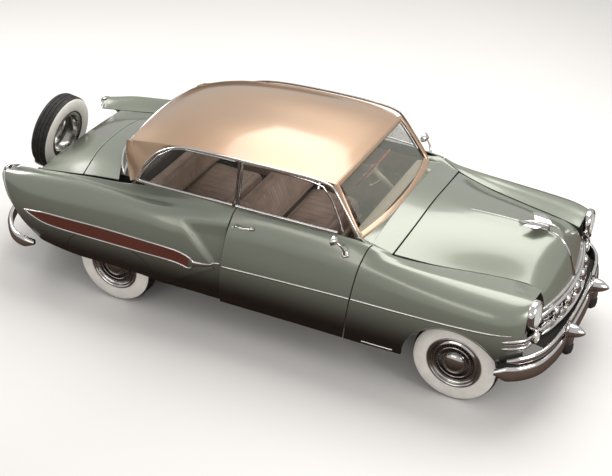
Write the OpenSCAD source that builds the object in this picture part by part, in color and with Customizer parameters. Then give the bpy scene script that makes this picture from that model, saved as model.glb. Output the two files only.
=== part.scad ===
// 1950s two-door hardtop coupe with a rear-mounted spare wheel.
// Frame: +X to the front, +Y to the car's left, +Z up, origin on the ground below the middle
// of the car's length and width. Sections are half sections of the left side, mirrored.

/* [Overall] */
// Length over the bumpers, from which the body's stations are scaled
body_length = 5080; // [4200:10:6100]
// Width over the widest point of the body sides
body_width = 1890; // [1570:10:2270]
// Height of the roof's highest point
body_height = 1600; // [1500:10:1700]
// Distance between the axles
wheelbase = 2921; // [2900:1:2945]
// Front axle's place ahead of the middle of the car
front_axle_x = 1710; // [1695:1:1725]

/* [Wheels] */
// Outer radius of the tyres
tyre_r = 333; // [277:1:345]
// Width of the tyres
tyre_w = 170; // [140:1:190]
// Radius of the bead seat that the tyre sits on
rim_r = 203; // [170:1:240]
// Distance between the front wheels' centre planes
front_track = 1440; // [1400:1:1460]
// Distance between the rear wheels' centre planes
rear_track = 1492; // [1460:1:1500]
// Radius of the front and rear wheel spindles
spindle_r = 20; // [15:1:25]
// Radial play of a wheel on its spindle
spindle_play = 0.05; // [0.02:0.01:0.1]
// Distance between the two steering axes
kingpin_track = 1200; // [1180:1:1220]
// Radius of the steering pins
kingpin_r = 14; // [10:1:18]

/* [Panels] */
// Thickness of fenders, quarters, hood and lid
panel_t = 26; // [20:1:32]
// Whole thickness of a door
door_t = 56; // [45:1:68]
// Thickness of the roof with its lining
roof_t = 24; // [18:1:30]
// Gap between a door and its neighbours
door_gap = 10; // [8:1:14]
// Running gap at which fixed pieces are seated on each other
seat_gap = 0.3; // [0.2:0.1:0.8]
// Gap round the hood and the trunk lid
lid_gap = 8; // [6:1:12]
// Thickness of the glass
glass_t = 6; // [4:1:10]
// Radius of the front wheel openings
arch_r = 385; // [375:1:400]

/* [Cabin] */
// Width of the bench seats
seat_w = 1180; // [980:10:1200]
// Outer diameter of the steering wheel
steering_wheel_d = 430; // [360:5:460]
// Thickness of the steering wheel's rim
steering_rim_d = 22; // [18:1:28]
// Slope of the steering column above level
column_angle = 36; // [30:1:42]
// Diameter of the steering column's tube
column_d = 44; // [34:1:54]

/* [Fittings] */
// Distance between the number plate's bolts
plate_bolt_spacing = 178; // [148:1:214]
// Radius of the number plate's bolt holes
plate_bolt_r = 4; // [3.3:0.1:4.8]
// Radius of the hole in the front towing eye
tow_eye_r = 14; // [11:1:17]
// Thickness of the towing eye's plate
tow_eye_t = 16; // [13:1:20]

/* [Hidden] */
$fn = 48;

kx = body_length / 5080;
ky = body_width / 1890;
kz = body_height / 1600;
rear_axle_x = front_axle_x - wheelbase;
wheel_z = tyre_r;

// Body side: one row for each station, in the design size. Columns: x, then y and z of
// a inner edge (hood gap, belt, deck), v valley, b crest, c shoulder, d widest, e lower, f sill.
SIDE = [
    // x      a         v          b          c         d         e         f
    [-2290, 600, 880, 660, 890, 745, 920, 790, 880, 815, 760, 812, 620, 785, 470],
    [-2150, 602, 900, 642, 905, 757, 947, 832, 890, 868, 750, 862, 590, 830, 450],
    [-2000, 606, 918, 646, 914, 772, 977, 862, 900, 905, 745, 896, 580, 862, 440],
    [-1750, 616, 950, 662, 944, 785, 1006, 885, 915, 930, 740, 922, 560, 885, 405],
    [-1500, 632, 988, 680, 966, 800, 1026, 898, 925, 942, 735, 934, 550, 897, 388],
    [-1200, 668, 1035, 708, 984, 817, 1031, 905, 930, 945, 730, 938, 545, 898, 388],
    [-900, 706, 1098, 738, 1006, 832, 1022, 908, 925, 945, 725, 938, 540, 896, 380],
    [-600, 735, 1132, 762, 1060, 838, 1012, 905, 915, 940, 725, 934, 530, 890, 345],
    [-350, 745, 1140, 775, 1092, 832, 1028, 887, 930, 932, 725, 924, 520, 880, 332],
    [-100, 750, 1142, 785, 1107, 830, 1036, 873, 940, 925, 725, 916, 520, 875, 330],
    [400, 750, 1146, 787, 1116, 828, 1042, 868, 945, 922, 725, 914, 520, 875, 330],
    [960, 735, 1122, 772, 1102, 820, 1040, 870, 950, 925, 730, 916, 520, 878, 330],
    [1150, 692, 1048, 740, 1052, 800, 1035, 872, 955, 930, 740, 920, 520, 880, 335],
    [1400, 630, 1008, 700, 1018, 780, 1020, 880, 945, 935, 755, 925, 530, 885, 345],
    [1710, 556, 990, 660, 1000, 762, 1003, 882, 930, 936, 765, 926, 545, 888, 365],
    [1990, 500, 975, 620, 985, 740, 990, 866, 920, 920, 775, 908, 565, 876, 430],
    [2120, 482, 958, 600, 972, 722, 980, 838, 915, 888, 785, 876, 590, 850, 480],
    [2200, 474, 942, 590, 960, 705, 970, 800, 905, 840, 790, 828, 610, 806, 500],
    [2245, 470, 928, 585, 945, 690, 955, 755, 895, 782, 800, 772, 640, 755, 520]];
// Where the columns a to f lie along a half section
STEPS = [0, 1, 2, 3.3, 5.3, 7.3, 9.3];
T_BELT = 0;
T_CREST = 2;
T_SILL = 9.3;

// Hood: one row from the rear edge to the nose. Columns: x and z of the centre,
// x, y and z of the shoulder, and x and z of the edge beside the fender
HOOD = [
    // centre     shoulder          edge
    [1195, 1150, 1190, 340, 1126, 1152, 1047],
    [1500, 1160, 1500, 300, 1120, 1450, 1003],
    [1800, 1156, 1790, 262, 1112, 1760, 986],
    [2050, 1140, 2030, 232, 1092, 2000, 972],
    [2180, 1105, 2150, 218, 1060, 2120, 956],
    [2258, 1010, 2232, 222, 980, 2200, 915],
    [2300, 900, 2276, 240, 880, 2236, 850],
    [2322, 806, 2296, 260, 800, 2250, 796]];

// Roof: one row from the windshield header to the rear window. Columns: x and z of the
// centre, then y and z of the quarter line and of the eave above the side windows
ROOF = [
    // x  centre  quarter      eave
    [655, 1476, 350, 1470, 590, 1452],
    [560, 1520, 350, 1512, 622, 1478],
    [350, 1570, 350, 1560, 645, 1500],
    [0, 1597, 350, 1586, 655, 1506],
    [-350, 1590, 350, 1578, 650, 1500],
    [-700, 1555, 345, 1540, 630, 1470],
    [-950, 1500, 335, 1485, 605, 1425],
    [-1150, 1425, 320, 1415, 560, 1370]];

// Smooth curve through a table whose first column rises: tangents from the neighbours
function row_of(tab, x, i = 0) = i >= len(tab) - 2 || x < tab[i + 1][0] ? i : row_of(tab, x, i + 1);
function slope(tab, i, c) =
    let (a = max(i - 1, 0), b = min(i + 1, len(tab) - 1))
    (tab[b][c] - tab[a][c]) / (tab[b][0] - tab[a][0]);
function curve(tab, c, x) =
    let (i = row_of(tab, x), h = tab[i + 1][0] - tab[i][0], t = (x - tab[i][0]) / h,
        t2 = t * t, t3 = t2 * t)
    (2 * t3 - 3 * t2 + 1) * tab[i][c] + (t3 - 2 * t2 + t) * h * slope(tab, i, c)
        + (3 * t2 - 2 * t3) * tab[i + 1][c] + (t3 - t2) * h * slope(tab, i + 1, c);

// Half section at x as rows of step, y and z, and the point on it at a step
function section(x) = [for (k = [0:6])
    [STEPS[k], ky * curve(SIDE, 1 + 2 * k, x / kx), kz * curve(SIDE, 2 + 2 * k, x / kx)]];
function side_point(x, t) = let (s = section(x)) [x, curve(s, 1, t), curve(s, 2, t)];
// Step at which a half section comes down to height z, below the crest
function step_at(s, z, lo = 2, hi = 9.3, n = 12) =
    n == 0 ? (lo + hi) / 2 :
    let (m = (lo + hi) / 2) curve(s, 2, m) > z ? step_at(s, z, m, hi, n - 1) : step_at(s, z, lo, m, n - 1);
function mix(a, b, t) = a + (b - a) * t;
function flip(g) = [for (i = [len(g) - 1:-1:0]) g[i]];

// Unit normal of a grid at i, j, from its neighbours
function unit(v) = v / norm(v);
function grid_normal(g, i, j) =
    let (u = g[min(i + 1, len(g) - 1)][j] - g[max(i - 1, 0)][j],
        v = g[i][min(j + 1, len(g[0]) - 1)] - g[i][max(j - 1, 0)])
    unit(cross(u, v));
function offset_grid(g, d) = [for (i = [0:len(g) - 1]) [for (j = [0:len(g[0]) - 1])
    g[i][j] + d * grid_normal(g, i, j)]];
// Closed solid between two grids of the same size, the first seen from outside
module between(outer, inner) {
    n = len(outer);
    m = len(outer[0]);
    points = concat([for (row = outer) each row], [for (row = inner) each row]);
    o = n * m;
    skin = [for (i = [0:n - 2]) for (j = [0:m - 2]) let (a = i * m + j)
        each [[a, a + m + 1, a + m], [a, a + 1, a + m + 1],
            [o + a, o + a + m, o + a + m + 1], [o + a, o + a + m + 1, o + a + 1]]];
    ends = [for (i = [0:n - 2]) let (a = i * m, b = a + m - 1)
        each [[a, o + a + m, o + a], [a, a + m, o + a + m],
            [b, o + b + m, b + m], [b, o + b, o + b + m]]];
    sides = [for (j = [0:m - 2]) let (a = j, b = (n - 1) * m + j)
        each [[a, o + a + 1, a + 1], [a, o + a, o + a + 1],
            [b, b + 1, o + b + 1], [b, o + b + 1, o + b]]];
    polyhedron(points, concat(skin, ends, sides), convexity = 6);
}
// Panel of thickness t behind a grid whose normals point out of the car
module panel(g, t) between(g, offset_grid(g, -t));
// Bar of width w and depth d along a path, its faces square to the given up vector
module bar(path, w, d, up) {
    rings = [for (i = [0:len(path) - 1])
        let (along = unit(path[min(i + 1, len(path) - 1)] - path[max(i - 1, 0)]),
            side = unit(cross(up, along)), top = cross(along, side), p = path[i])
        [p + side * w / 2, p + side * w / 2 - top * d, p - side * w / 2 - top * d, p - side * w / 2]];
    tube(rings);
}
// Closed solid through rings of points, all of one length
module tube(rings) {
    n = len(rings);
    m = len(rings[0]);
    walls = [for (i = [0:n - 2]) for (j = [0:m - 1])
        let (a = i * m + j, b = i * m + (j + 1) % m) each [[a, b, b + m], [a, b + m, a + m]]];
    first = [for (j = [1:m - 2]) [0, j + 1, j]];
    last = [for (j = [1:m - 2]) let (o = (n - 1) * m) [o, o + j, o + j + 1]];
    polyhedron([for (r = rings) each r], concat(walls, first, last), convexity = 6);
}
module both() { children(); mirror([0, 1, 0]) children(); }
// Box from one corner to the other
module block(a, b) translate(a) cube(b - a);
// Rod between two points
module rod(a, b, r) {
    v = b - a;
    translate(a) rotate([0, acos(v[2] / norm(v)), atan2(v[1], v[0])]) cylinder(h = norm(v), r = r);
}

// Door gaps: where they cross a half section's steps
function door_front(t) = kx * (1003 - 16 * t);
function door_rear(t) = kx * (-103 - 11 * t);

// Front fender, from the door to the headlamp, trimmed to the wheel opening
fender_nose_x = 2214 * kx;
function opening_z(x) = abs(x - front_axle_x) >= arch_r ? 0 :
    wheel_z + sqrt(arch_r * arch_r - pow(x - front_axle_x, 2));
fender_xs = concat(
    [for (s = [0:0.25:0.75]) mix(door_front(T_SILL) + door_gap / 2, front_axle_x - arch_r, s)],
    [for (a = [180:-15:0]) front_axle_x + arch_r * cos(a)],
    [for (s = [0.35:0.325:1]) mix(front_axle_x + arch_r, fender_nose_x, s)]);
function fender_point(x, v) =
    let (back = max(0, min(1, (front_axle_x - arch_r - x) / (front_axle_x - arch_r - fender_xs[0]))),
        t0 = v * T_SILL, xs = x + back * (door_front(t0) - door_front(T_SILL)),
        s = section(xs), last = opening_z(x) > s[6][2] ? step_at(s, opening_z(x)) : T_SILL)
    side_point(xs, v * last);
fender_grid = [for (x = fender_xs) [for (v = [0:1/12:1.001]) fender_point(x, v)]];
// Plate that closes the fender's front behind the headlamp and the parking lamp
nose_plate_t = 10;
grille_end_y = 600;
nose_inner = [[grille_end_y + 0.4, 520], [grille_end_y + 0.4, 790], [565, 800]];
module nose_plate() {
    x = fender_nose_x;
    outline = concat([for (t = [1:0.83:T_SILL + 0.01]) let (p = side_point(x, t)) [p[1], p[2]]],
        [for (p = nose_inner) [p[0] * ky, p[1] * kz]]);
    translate([x + seat_gap, 0, 0]) rotate([90, 0, 90]) linear_extrude(nose_plate_t) polygon(outline);
}
hinge_pin_r = 6;
lid_pin_r = 4.5;
module front_fender() {
    panel(fender_grid, panel_t);
    // Door hinge barrel
    translate([945 * kx, 930 * ky, 690]) cylinder(h = 60, r = hinge_pin_r);
    nose_plate();
}
module front_fender_left() { color("darkseagreen") front_fender(); }
module front_fender_right() { color("darkseagreen") mirror([0, 1, 0]) front_fender(); }

// Rear quarter, from the door to the tail, with the raised rear fender
TAIL = [[0, -2225], [2, -2256], [3.3, -2240], [5.3, -2172], [7.3, -2050], [9.3, -1880]];
quarter_rise = 26;
function lead_x(z) = z > 700 ? -555 + (1030 - z) * 1.0 : z > 640 ? -225 : -245 - (640 - z) * 1.6;
function smooth(a, b, x) = let (t = max(0, min(1, (x - a) / (b - a)))) t * t * (3 - 2 * t);
function quarter_point(s, t) =
    let (x = mix(door_rear(t) - door_gap / 2, kx * curve(TAIL, 1, t), s), p = side_point(x, t),
        rise = quarter_rise * smooth(30, -30, p[0] / kx - lead_x(p[2] / kz)) * smooth(2, 3.6, t) - quarter_rise)
    [p[0], p[1] + (t > 2 ? ky * rise * smooth(-800, -500, p[0] / kx) * smooth(2, 3.6, t) : 0), p[2]];
quarter_grid = [for (i = [0:30]) [for (t = [0:T_SILL / 12:T_SILL + 0.01]) quarter_point(pow(i / 30, 1.15), t)]];
module rear_quarter() panel(flip(quarter_grid), panel_t);
module rear_quarter_left() { color("darkseagreen") rear_quarter(); }
module rear_quarter_right() { color("darkseagreen") mirror([0, 1, 0]) rear_quarter(); }

// Doors: the inner face stands back from the rear edge so that it swings past the quarter
door_taper = 22;
function door_point(s, t) = let (x = mix(door_rear(t) + door_gap / 2, door_front(t) - door_gap / 2, s)) side_point(x, t);
door_grid = [for (i = [0:12]) [for (t = [0:T_SILL / 12:T_SILL + 0.01]) door_point(i / 12, t)]];
door_inner = [for (i = [0:12]) [for (p = door_grid[i]) [p[0] + door_taper * (1 - i / 12), p[1] - door_t, p[2]]]];
mirror_x = 830 * kx;
module door_body() {
    between(door_grid, door_inner);
    rod([mirror_x, 800, 1060], [mirror_x - 30, 865, 1165], 7);
    translate([mirror_x - 78, 880, 1170]) rotate([0, 90, 0]) cylinder(h = 50, r1 = 48, r2 = 30);
}
module door_left() { color("darkseagreen") door_body(); }
module door_right() { color("darkseagreen") mirror([0, 1, 0]) door_body(); }

// Side glass: corners in the plane that leans in from the belt to the eave
belt_y = 722 * ky;
belt_z = 1142 * kz;
eave_z = 1458 * kz;
glass_lean = 86;
function glass_y(z) = belt_y - glass_lean * (z - belt_z) / (eave_z - belt_z);
// Plate of thickness t in the side glass plane, from outline points of x and z
module side_plate(outline, t) {
    n = len(outline);
    rings = [[for (p = outline) [p[0], glass_y(p[1]), p[1]]],
        [for (p = outline) [p[0], glass_y(p[1]) - t, p[1]]]];
    tube(rings);
}
door_glass_z = 1147 * kz;
door_glass_outline = [[-86, door_glass_z], [-86, eave_z], [300, eave_z], [560, eave_z - 16],
    [650, eave_z - 110], [755, door_glass_z]];
quarter_glass_z = 1144 * kz;
quarter_glass_outline = [[-970, quarter_glass_z], [-915, 1240], [-815, 1360], [-700, eave_z - 30],
    [-600, eave_z - 0.4], [-142, eave_z - 0.4], [-142, quarter_glass_z]];
module door_glass() side_plate([for (p = door_glass_outline) [p[0] * kx, p[1]]], glass_t);
module door_glass_left() { color("lightcyan", 0.4) door_glass(); }
module door_glass_right() { color("lightcyan", 0.4) mirror([0, 1, 0]) door_glass(); }
module quarter_windows() {
    color("lightcyan", 0.4) both() side_plate([for (p = quarter_glass_outline) [p[0] * kx, p[1]]], glass_t);
}

// Hood grid across the car, edge to edge, wider ahead of the fenders' fronts
hood_flare_x = 2230;
function hood_row(s) =
    let (tab = [for (i = [0:len(HOOD) - 1]) concat([i], HOOD[i])], q = s * (len(HOOD) - 1),
        c = [for (k = [1:7]) curve(tab, k, q)], x = min(c[5], 2200),
        rear = 11 * max(0, 1 - q / 1.5),
        edge_y = ky * curve(SIDE, 1, x) - lid_gap - rear + 0.9 * max(0, c[5] - hood_flare_x))
    [[-2, kx * c[5], -edge_y, kz * c[6]], [-1, kx * c[2], -ky * c[3], kz * c[4]],
        [0, kx * c[0], 0, kz * c[1]], [1, kx * c[2], ky * c[3], kz * c[4]],
        [2, kx * c[5], edge_y, kz * c[6]]];
function across(row, w) = [curve(row, 1, w), curve(row, 2, w), curve(row, 3, w)];
hood_grid = [for (s = [0:1/16:1.001]) let (row = hood_row(s)) [for (w = [-2:0.4:2.01]) across(row, w)]];
module hood() { color("darkseagreen") panel(hood_grid, panel_t); }

// Cowl, between the hood and the windshield
cowl_rows = [
    [[-2, 982, -684, 1098], [-1, 988, -360, 1140], [0, 992, 0, 1160], [1, 988, 360, 1140], [2, 982, 684, 1098]],
    [[-2, 1142, -678, 1050], [-1, 1180, -340, 1127], [0, 1185, 0, 1151], [1, 1180, 340, 1127], [2, 1142, 678, 1050]]];
cowl_grid = [for (row = cowl_rows) [for (w = [-2:0.4:2.01])
    let (p = across(row, w)) [p[0] * kx, p[1] * ky, p[2] * kz]]];
surround_w = 52;
module cowl() {
    color("darkseagreen") panel(cowl_grid, panel_t);
    // Hood hinge barrel
    color("darkseagreen") rod([1178 * kx, -60, 1156 * kz], [1178 * kx, 60, 1156 * kz], hinge_pin_r);
    color("tan") bar([for (p = sill_fan) p - [0, 0, seat_gap]], surround_w, 30, [0, 0, 1]);
}

// Rear deck between the rear window and the trunk lid, and the lid itself
DECK = [
    // x of centre, z of centre, x of edge; the edge follows the quarter's inner edge
    [0, -1430, 1086, -1240], [1, -1550, 1072, -1440], [2, -1660, 1053, -1600],
    [3, -1800, 1020, -1760], [4, -1960, 966, -1920], [5, -2050, 912, -2030],
    [6, -2098, 840, -2085], [7, -2118, 750, -2105]];
function deck_row(q) =
    let (xc = curve(DECK, 1, q), zc = curve(DECK, 2, q), xe = curve(DECK, 3, q),
        yb = curve(SIDE, 1, xe), zb = min(curve(SIDE, 2, xe), zc - 4),
        ye = ky * yb - lid_gap - 4 - 26 * max(0, 1 - q / 4))
    [[-2, xe * kx, -ye, zb * kz], [-1, mix(xc, xe, 0.25) * kx, -ye / 2, mix(zc, zb, 0.2) * kz],
        [0, xc * kx, 0, zc * kz], [1, mix(xc, xe, 0.25) * kx, ye / 2, mix(zc, zb, 0.2) * kz],
        [2, xe * kx, ye, zb * kz]];
function deck_grid(q0, q1, n) = [for (i = [0:n]) let (row = deck_row(mix(q0, q1, i / n)))
    [for (w = [-2:0.4:2.01]) across(row, w)]];
module rear_deck() {
    color("darkseagreen") {
        panel(flip(deck_grid(0, 1.96, 6)), panel_t);
        // Trunk lid hinge barrel on its web
        rod([-1662 * kx, -50, 1058 * kz], [-1662 * kx, 50, 1058 * kz], lid_pin_r);
        block([-1661 * kx, -50, 1052 * kz], [-1640 * kx, 50, 1060 * kz]);
    }
}
module trunk_lid() { color("darkseagreen") panel(flip(deck_grid(2.04, 7, 14)), panel_t); }
pan_plan = [for (q = [[-2122, 600], [-2320, 600], [-2400, 440], [-2450, 220], [-2476, 60]]) [q[0] * kx, q[1] * ky]];
pan_z = 426;
pan_t = 12;
module tail_panel() {
    color("darkseagreen") {
        block([-2122 * kx, -600 * ky, pan_z], [-2096 * kx, 600 * ky, 736 * kz]);
        // Stops that the closed lid rests on
        both() block([-2112 * kx, 340 * ky, 730 * kz], [-2107 * kx, 356 * ky, 750 * kz - 2.7]);
        translate([0, 0, pan_z]) linear_extrude(pan_t) polygon(concat(pan_plan, [for (i = [4:-1:0]) [pan_plan[i][0], -pan_plan[i][1]]]));
    }
}

// Roof shell with its pillars and the windshield surround
roof_rows = [for (r = ROOF) [r[0] * kx, r[1] * kz, r[2] * ky, r[3] * kz, r[4] * ky, r[5] * kz]];
function roof_row(x) = let (t = flip(roof_rows), c = [for (k = [1:5]) curve(t, k, x)])
    [[-2, x, -c[3], c[4]], [-1, x, -c[1], c[2]], [0, x, 0, c[0]], [1, x, c[1], c[2]], [2, x, c[3], c[4]]];
roof_grid = [for (i = [0:18]) let (x = mix(-1150, 655, i / 18) * kx, row = roof_row(x))
    [for (w = [-2:0.4:2.01]) across(row, w)]];
a_pillar = [[655, 585, 1452], [760, 628, 1300], [862, 655, 1105]];
c_pillar = [[-1128, 560, 1376], [-1100, 622, 1250], [-1035, 676, 1082]];
b_pillar = [[-114, 700, 426.3], [-114, 706, 1150], [-114, 634, 1500]];
b_pillar_w = 38;
function scaled(path) = [for (p = path) [p[0] * kx, p[1] * ky, p[2] * kz]];
module roof() {
    color("tan") {
        panel(roof_grid, roof_t);
        both() {
            bar(scaled(a_pillar), 46, 34, [0.5, 1, 0.4]);
            bar(scaled(b_pillar), b_pillar_w, 22, [0, 1, 0.2]);
            bar(scaled(c_pillar), 60, 30, [-0.5, 1, 0.4]);
        }
    }
}
// Glass panes: a low and a high edge curve, in rows of x, y and z
module pane(low, high, t) {
    between([for (i = [0:len(low) - 1]) [low[i], mix(low[i], high[i], 0.5) + [0, 0, 0], high[i]]],
        [for (i = [0:len(low) - 1]) [for (p = [low[i], mix(low[i], high[i], 0.5), high[i]])
            p - [t * sign(p[0]), 0, 0]]]);
}
function fan(xc, xe, ye, zc, ze, n) = [for (i = [-n:n]) let (s = i / n)
    [mix(xc, xe, s * s) * kx, s * ye * ky, mix(zc, ze, s * s) * kz]];
sill_fan = fan(935, 868, 600, 1150, 1150, 6);
module windshield() {
    color("lightcyan", 0.4) pane(sill_fan, fan(672, 662, 535, 1442, 1424, 6), glass_t);
}
module rear_window() {
    color("lightcyan", 0.4)
        pane(flip(fan(-1446, -1175, 618, 1096, 1096, 8)), flip(fan(-1168, -1140, 500, 1401.7, 1359.7, 8)), glass_t);
}

// Front end
bumper_plan = [[2085, 914], [2180, 892], [2268, 832], [2345, 730], [2388, 600], [2414, 420], [2427, 200], [2430, 0]];
bumper_inset = 36;
rear_bumper_plan = [[-1985, 868], [-2070, 884], [-2170, 858], [-2270, 780], [-2380, 640], [-2460, 440], [-2515, 220], [-2535, 0]];
function full_plan(p) = concat([for (q = p) [q[0] * kx, q[1] * ky]], [for (i = [len(p) - 2:-1:0]) [p[i][0] * kx, -p[i][1] * ky]]);
// Blade whose outline of depth and height rows is carried along a plan
module blade(plan, outline) {
    rings = [for (i = [0:len(plan) - 1])
        let (d = unit(plan[min(i + 1, len(plan) - 1)] - plan[max(i - 1, 0)]), n = [d[1], -d[0]] * -sign(plan[0][0]))
        [for (o = outline) [plan[i][0] + n[0] * o[0], plan[i][1] + n[1] * o[0], o[1]]]];
    tube(plan[0][0] > 0 ? [for (r = rings) flip(r)] : rings);
}
front_blade = [[0, 410], [14, 400], [26, 450], [30, 520], [24, 585], [8, 600], [0, 560]];
rear_blade = [[0, 332], [26, 322], [40, 360], [40, 396], [26, 430], [0, 422]];
bracket_y = [340, 380];
bullet_y = 327;
tow_eye_z = 360;
module front_bumper() {
    color("silver") {
        blade([for (p = full_plan(bumper_plan)) p - [bumper_inset, 0]], front_blade);
        both() {
            translate([2410 * kx, bullet_y * ky, 560]) rotate([0, 90, 0])
                cylinder(h = 2537 * kx - 2410 * kx, r1 = 58, r2 = 9);
            translate([2408 * kx, bullet_y * ky, 470]) rotate([0, 90, 0]) cylinder(h = 40, r = 70);
            block([rail_front_x + seat_gap, bracket_y[0], 340], [2390 * kx, bracket_y[1], 440]);
        }
        // Tow eye, taking a pin from below
        difference() {
            block([2300 * kx, -45, tow_eye_z - tow_eye_t / 2], [2406 * kx, 45, tow_eye_z + tow_eye_t / 2]);
            translate([2345 * kx, 0, tow_eye_z - tow_eye_t]) cylinder(h = 2 * tow_eye_t, r = tow_eye_r);
        }
        block([2394 * kx, -45, tow_eye_z], [2406 * kx, 45, 425]);
    }
}
plate_x = -2532 * kx;
module rear_bumper() {
    color("silver") {
        difference() {
            union() {
                blade([for (p = full_plan(rear_bumper_plan)) p + [36, 0]], rear_blade);
                block([plate_x, -155, 322], [plate_x + 12, 155, 430]);
            }
            for (s = [-1, 1]) translate([plate_x - 20, s * plate_bolt_spacing / 2, 385])
                rotate([0, 90, 0]) cylinder(h = 120, r = plate_bolt_r);
        }
        both() block([-2476 * kx, bracket_y[0], 372], [drop_x - 20 - seat_gap, bracket_y[1], pan_z - seat_gap]);
    }
}
lamp_y = 690 * ky;
lamp_z = 868 * kz;
module headlamps() {
    color("silver") both() {
        translate([fender_nose_x + nose_plate_t + 2 * seat_gap, lamp_y, lamp_z]) rotate([0, 90, 0]) {
            cylinder(h = 20, r = 94);
            translate([0, 0, 20]) cylinder(h = 20, r1 = 94, r2 = 76);
        }
    }
}
module tail_lamps() {
    color("firebrick") both() translate([0, 800 * ky, 0]) rotate([90, 0, 0]) linear_extrude(75)
        polygon([[-2290 * kx, 918 * kz], [-2259.5 * kx, 918 * kz], [-2238 * kx, 868 * kz], [-2172 * kx, 745 * kz],
            [-2158 * kx, 700 * kz], [-2200 * kx, 700 * kz]]);
}
function front_x(y) = fender_nose_x / kx + 0.0003 * (grille_end_y * grille_end_y - y * y);
grille_z = [655, 760];
grille_bar = 30;
module grille() {
    color("silver") {
        for (z = grille_z)
            bar([for (i = [-7:7]) let (y = i * grille_end_y / 7) [front_x(y) * kx, y * ky, z]],
                grille_bar, 30, [1, 0, 0]);
        for (i = [-2:2])
            translate([front_x(i * 190) * kx - 34, i * 190 * ky, grille_z[0] + grille_bar / 2 + seat_gap])
                cylinder(h = grille_z[1] - grille_z[0] - grille_bar - 2 * seat_gap, r1 = 14, r2 = 24);
        both() translate([fender_nose_x + nose_plate_t + 2 * seat_gap, 650 * ky, 665])
            rotate([0, 90, 0]) cylinder(h = 34, r = 45);
    }
}
module radiator() {
    color("dimgray") {
        block([2020 * kx, -330, rail_z1 + seat_gap], [2090 * kx, 330, 930]);
        // Stops that the closed hood rests on
        both() block([2024 * kx, 205 * ky, 920], [2040 * kx, 219 * ky, 1093 * kz - 28.3]);
    }
}

// Structure
rail_y = 360;
rail_w = 70;
rail_z0 = 300;
rail_z1 = 400;
rail_front_x = 2090 * kx;
rear_rail_z0 = 440;
rear_rail_z1 = 518;
kick_x = -830 * kx;
drop_x = -2060 * kx;
cross_t = 16;
module frame_rail() {
    block([kick_x, rail_y - rail_w / 2, rail_z0], [rail_front_x, rail_y + rail_w / 2, rail_z1]);
    block([kick_x - 40, rail_y - rail_w / 2, rail_z0], [kick_x, rail_y + rail_w / 2, rear_rail_z1]);
    block([drop_x - 20, rail_y - rail_w / 2, rear_rail_z0], [kick_x - 40, rail_y + rail_w / 2, rear_rail_z1]);
    // Spring hangers
    block([rear_axle_x + 540, rail_y + rail_w / 2, spring_z], [rear_axle_x + 580, spring_y + 50, rail_z0 + 40]);
    block([rear_axle_x - 580, rail_y + rail_w / 2, spring_z], [rear_axle_x - 540, spring_y + 50, rear_rail_z1 - 20]);
}
module frame_rail_left() { color("dimgray") frame_rail(); }
module frame_rail_right() { color("dimgray") mirror([0, 1, 0]) frame_rail(); }
cross_y = rail_y - rail_w / 2 - seat_gap;
module frame_cross() {
    color("dimgray") {
        for (x = [-700, 240, 1000, 1600, 1980])
            block([x * kx - 40, -cross_y, rail_z0 - 4], [x * kx + 40, cross_y, rail_z0 - 4 + cross_t]);
        // Engine mounts
        both() block([1560, 180, rail_z0 - 4], [1640, 226, engine_z - seat_gap]);
        block([drop_x - 20, -rail_y - rail_w / 2, 372], [drop_x + 20, rail_y + rail_w / 2, rear_rail_z0 - seat_gap]);
    }
}
// Crossbar with the lugs of the spare wheel carrier
module spare_mount() {
    color("dimgray") difference() {
        union() {
            block([tilt_pivot[0] - 22, -395, pan_z + pan_t + seat_gap], [tilt_pivot[0] + 22, 395, 470]);
            for (y = [-lug_y - lug_t, lug_y]) block([tilt_pivot[0] - 26, y, 450], [tilt_pivot[0] + 26, y + lug_t, tilt_pivot[2] + 24]);
        }
        translate(tilt_pivot - [0, 400, 0]) rotate([-90, 0, 0]) cylinder(h = 800, r = pivot_r + spindle_play);
    }
}
floor_z = 402;
floor_t = 24;
// The side's outer and a panel's inner y at a height below the crest
function side_y(x, z) = let (s = section(x)) curve(s, 1, step_at(s, z));
function panel_inner_y(x, z) = let (k = (side_y(x, z + 10) - side_y(x, z - 10)) / 20)
    side_y(x, z) - panel_t * sqrt(1 + k * k);
rear_floor_z = 520;
door_pad_x = -40;
module floor_pan() {
    top = floor_z + floor_t;
    color("dimgray") {
        block([-800 * kx, -800, floor_z], [1135 * kx, 800, top]);
        block([-824 * kx, -610, floor_z], [-800 * kx, 610, rear_floor_z + floor_t]);
        block([-2096 * kx + seat_gap, -560, rear_floor_z], [-824 * kx, 560, rear_floor_z + floor_t]);
        block([-1130 * kx, -610, rear_floor_z], [-1105 * kx, 610, 1016]);
        block([-1385 * kx, -450, 1003.2], [-1105 * kx, 450, 1019.2]);
        // Firewall, its top under the cowl
        translate([1110 * kx, 0, 0]) rotate([90, 0, 90]) linear_extrude(25)
            polygon([[-610, top], [610, top], [610, 1000], [340, 1101.6], [0, 1108.6], [-340, 1101.6], [-610, 1000]]);
        both() {
            // Brackets of the front fenders and the quarters, and the door seals' pads on the sills
            block([1110 * kx, 600, 700], [1135 * kx, panel_inner_y(1122 * kx, 730) - 5.9, 760]);
            block([-1720 * kx, 550, rear_floor_z], [-1690 * kx, panel_inner_y(-1705 * kx, rear_floor_z + 12) - 3.9, rear_floor_z + floor_t]);
            block([door_pad_x - 20, 790, floor_z], [door_pad_x, side_y(door_pad_x - 20, floor_z + floor_t / 2) - door_t - 3, top]);
        }
    }
}
engine_z = 420;
module engine_block() {
    color("steelblue") {
        block([1330, -230, engine_z], [2000, 230, 900]);
        block([1185, -110, 330], [1330, 110, 480]);
    }
}
module fuel_tank() {
    color("dimgray") block([-1980 * kx, -300, 404], [-1600 * kx, 300, rear_floor_z - seat_gap]);
}
exhaust_y = -200;
exhaust_z = 255;
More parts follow.
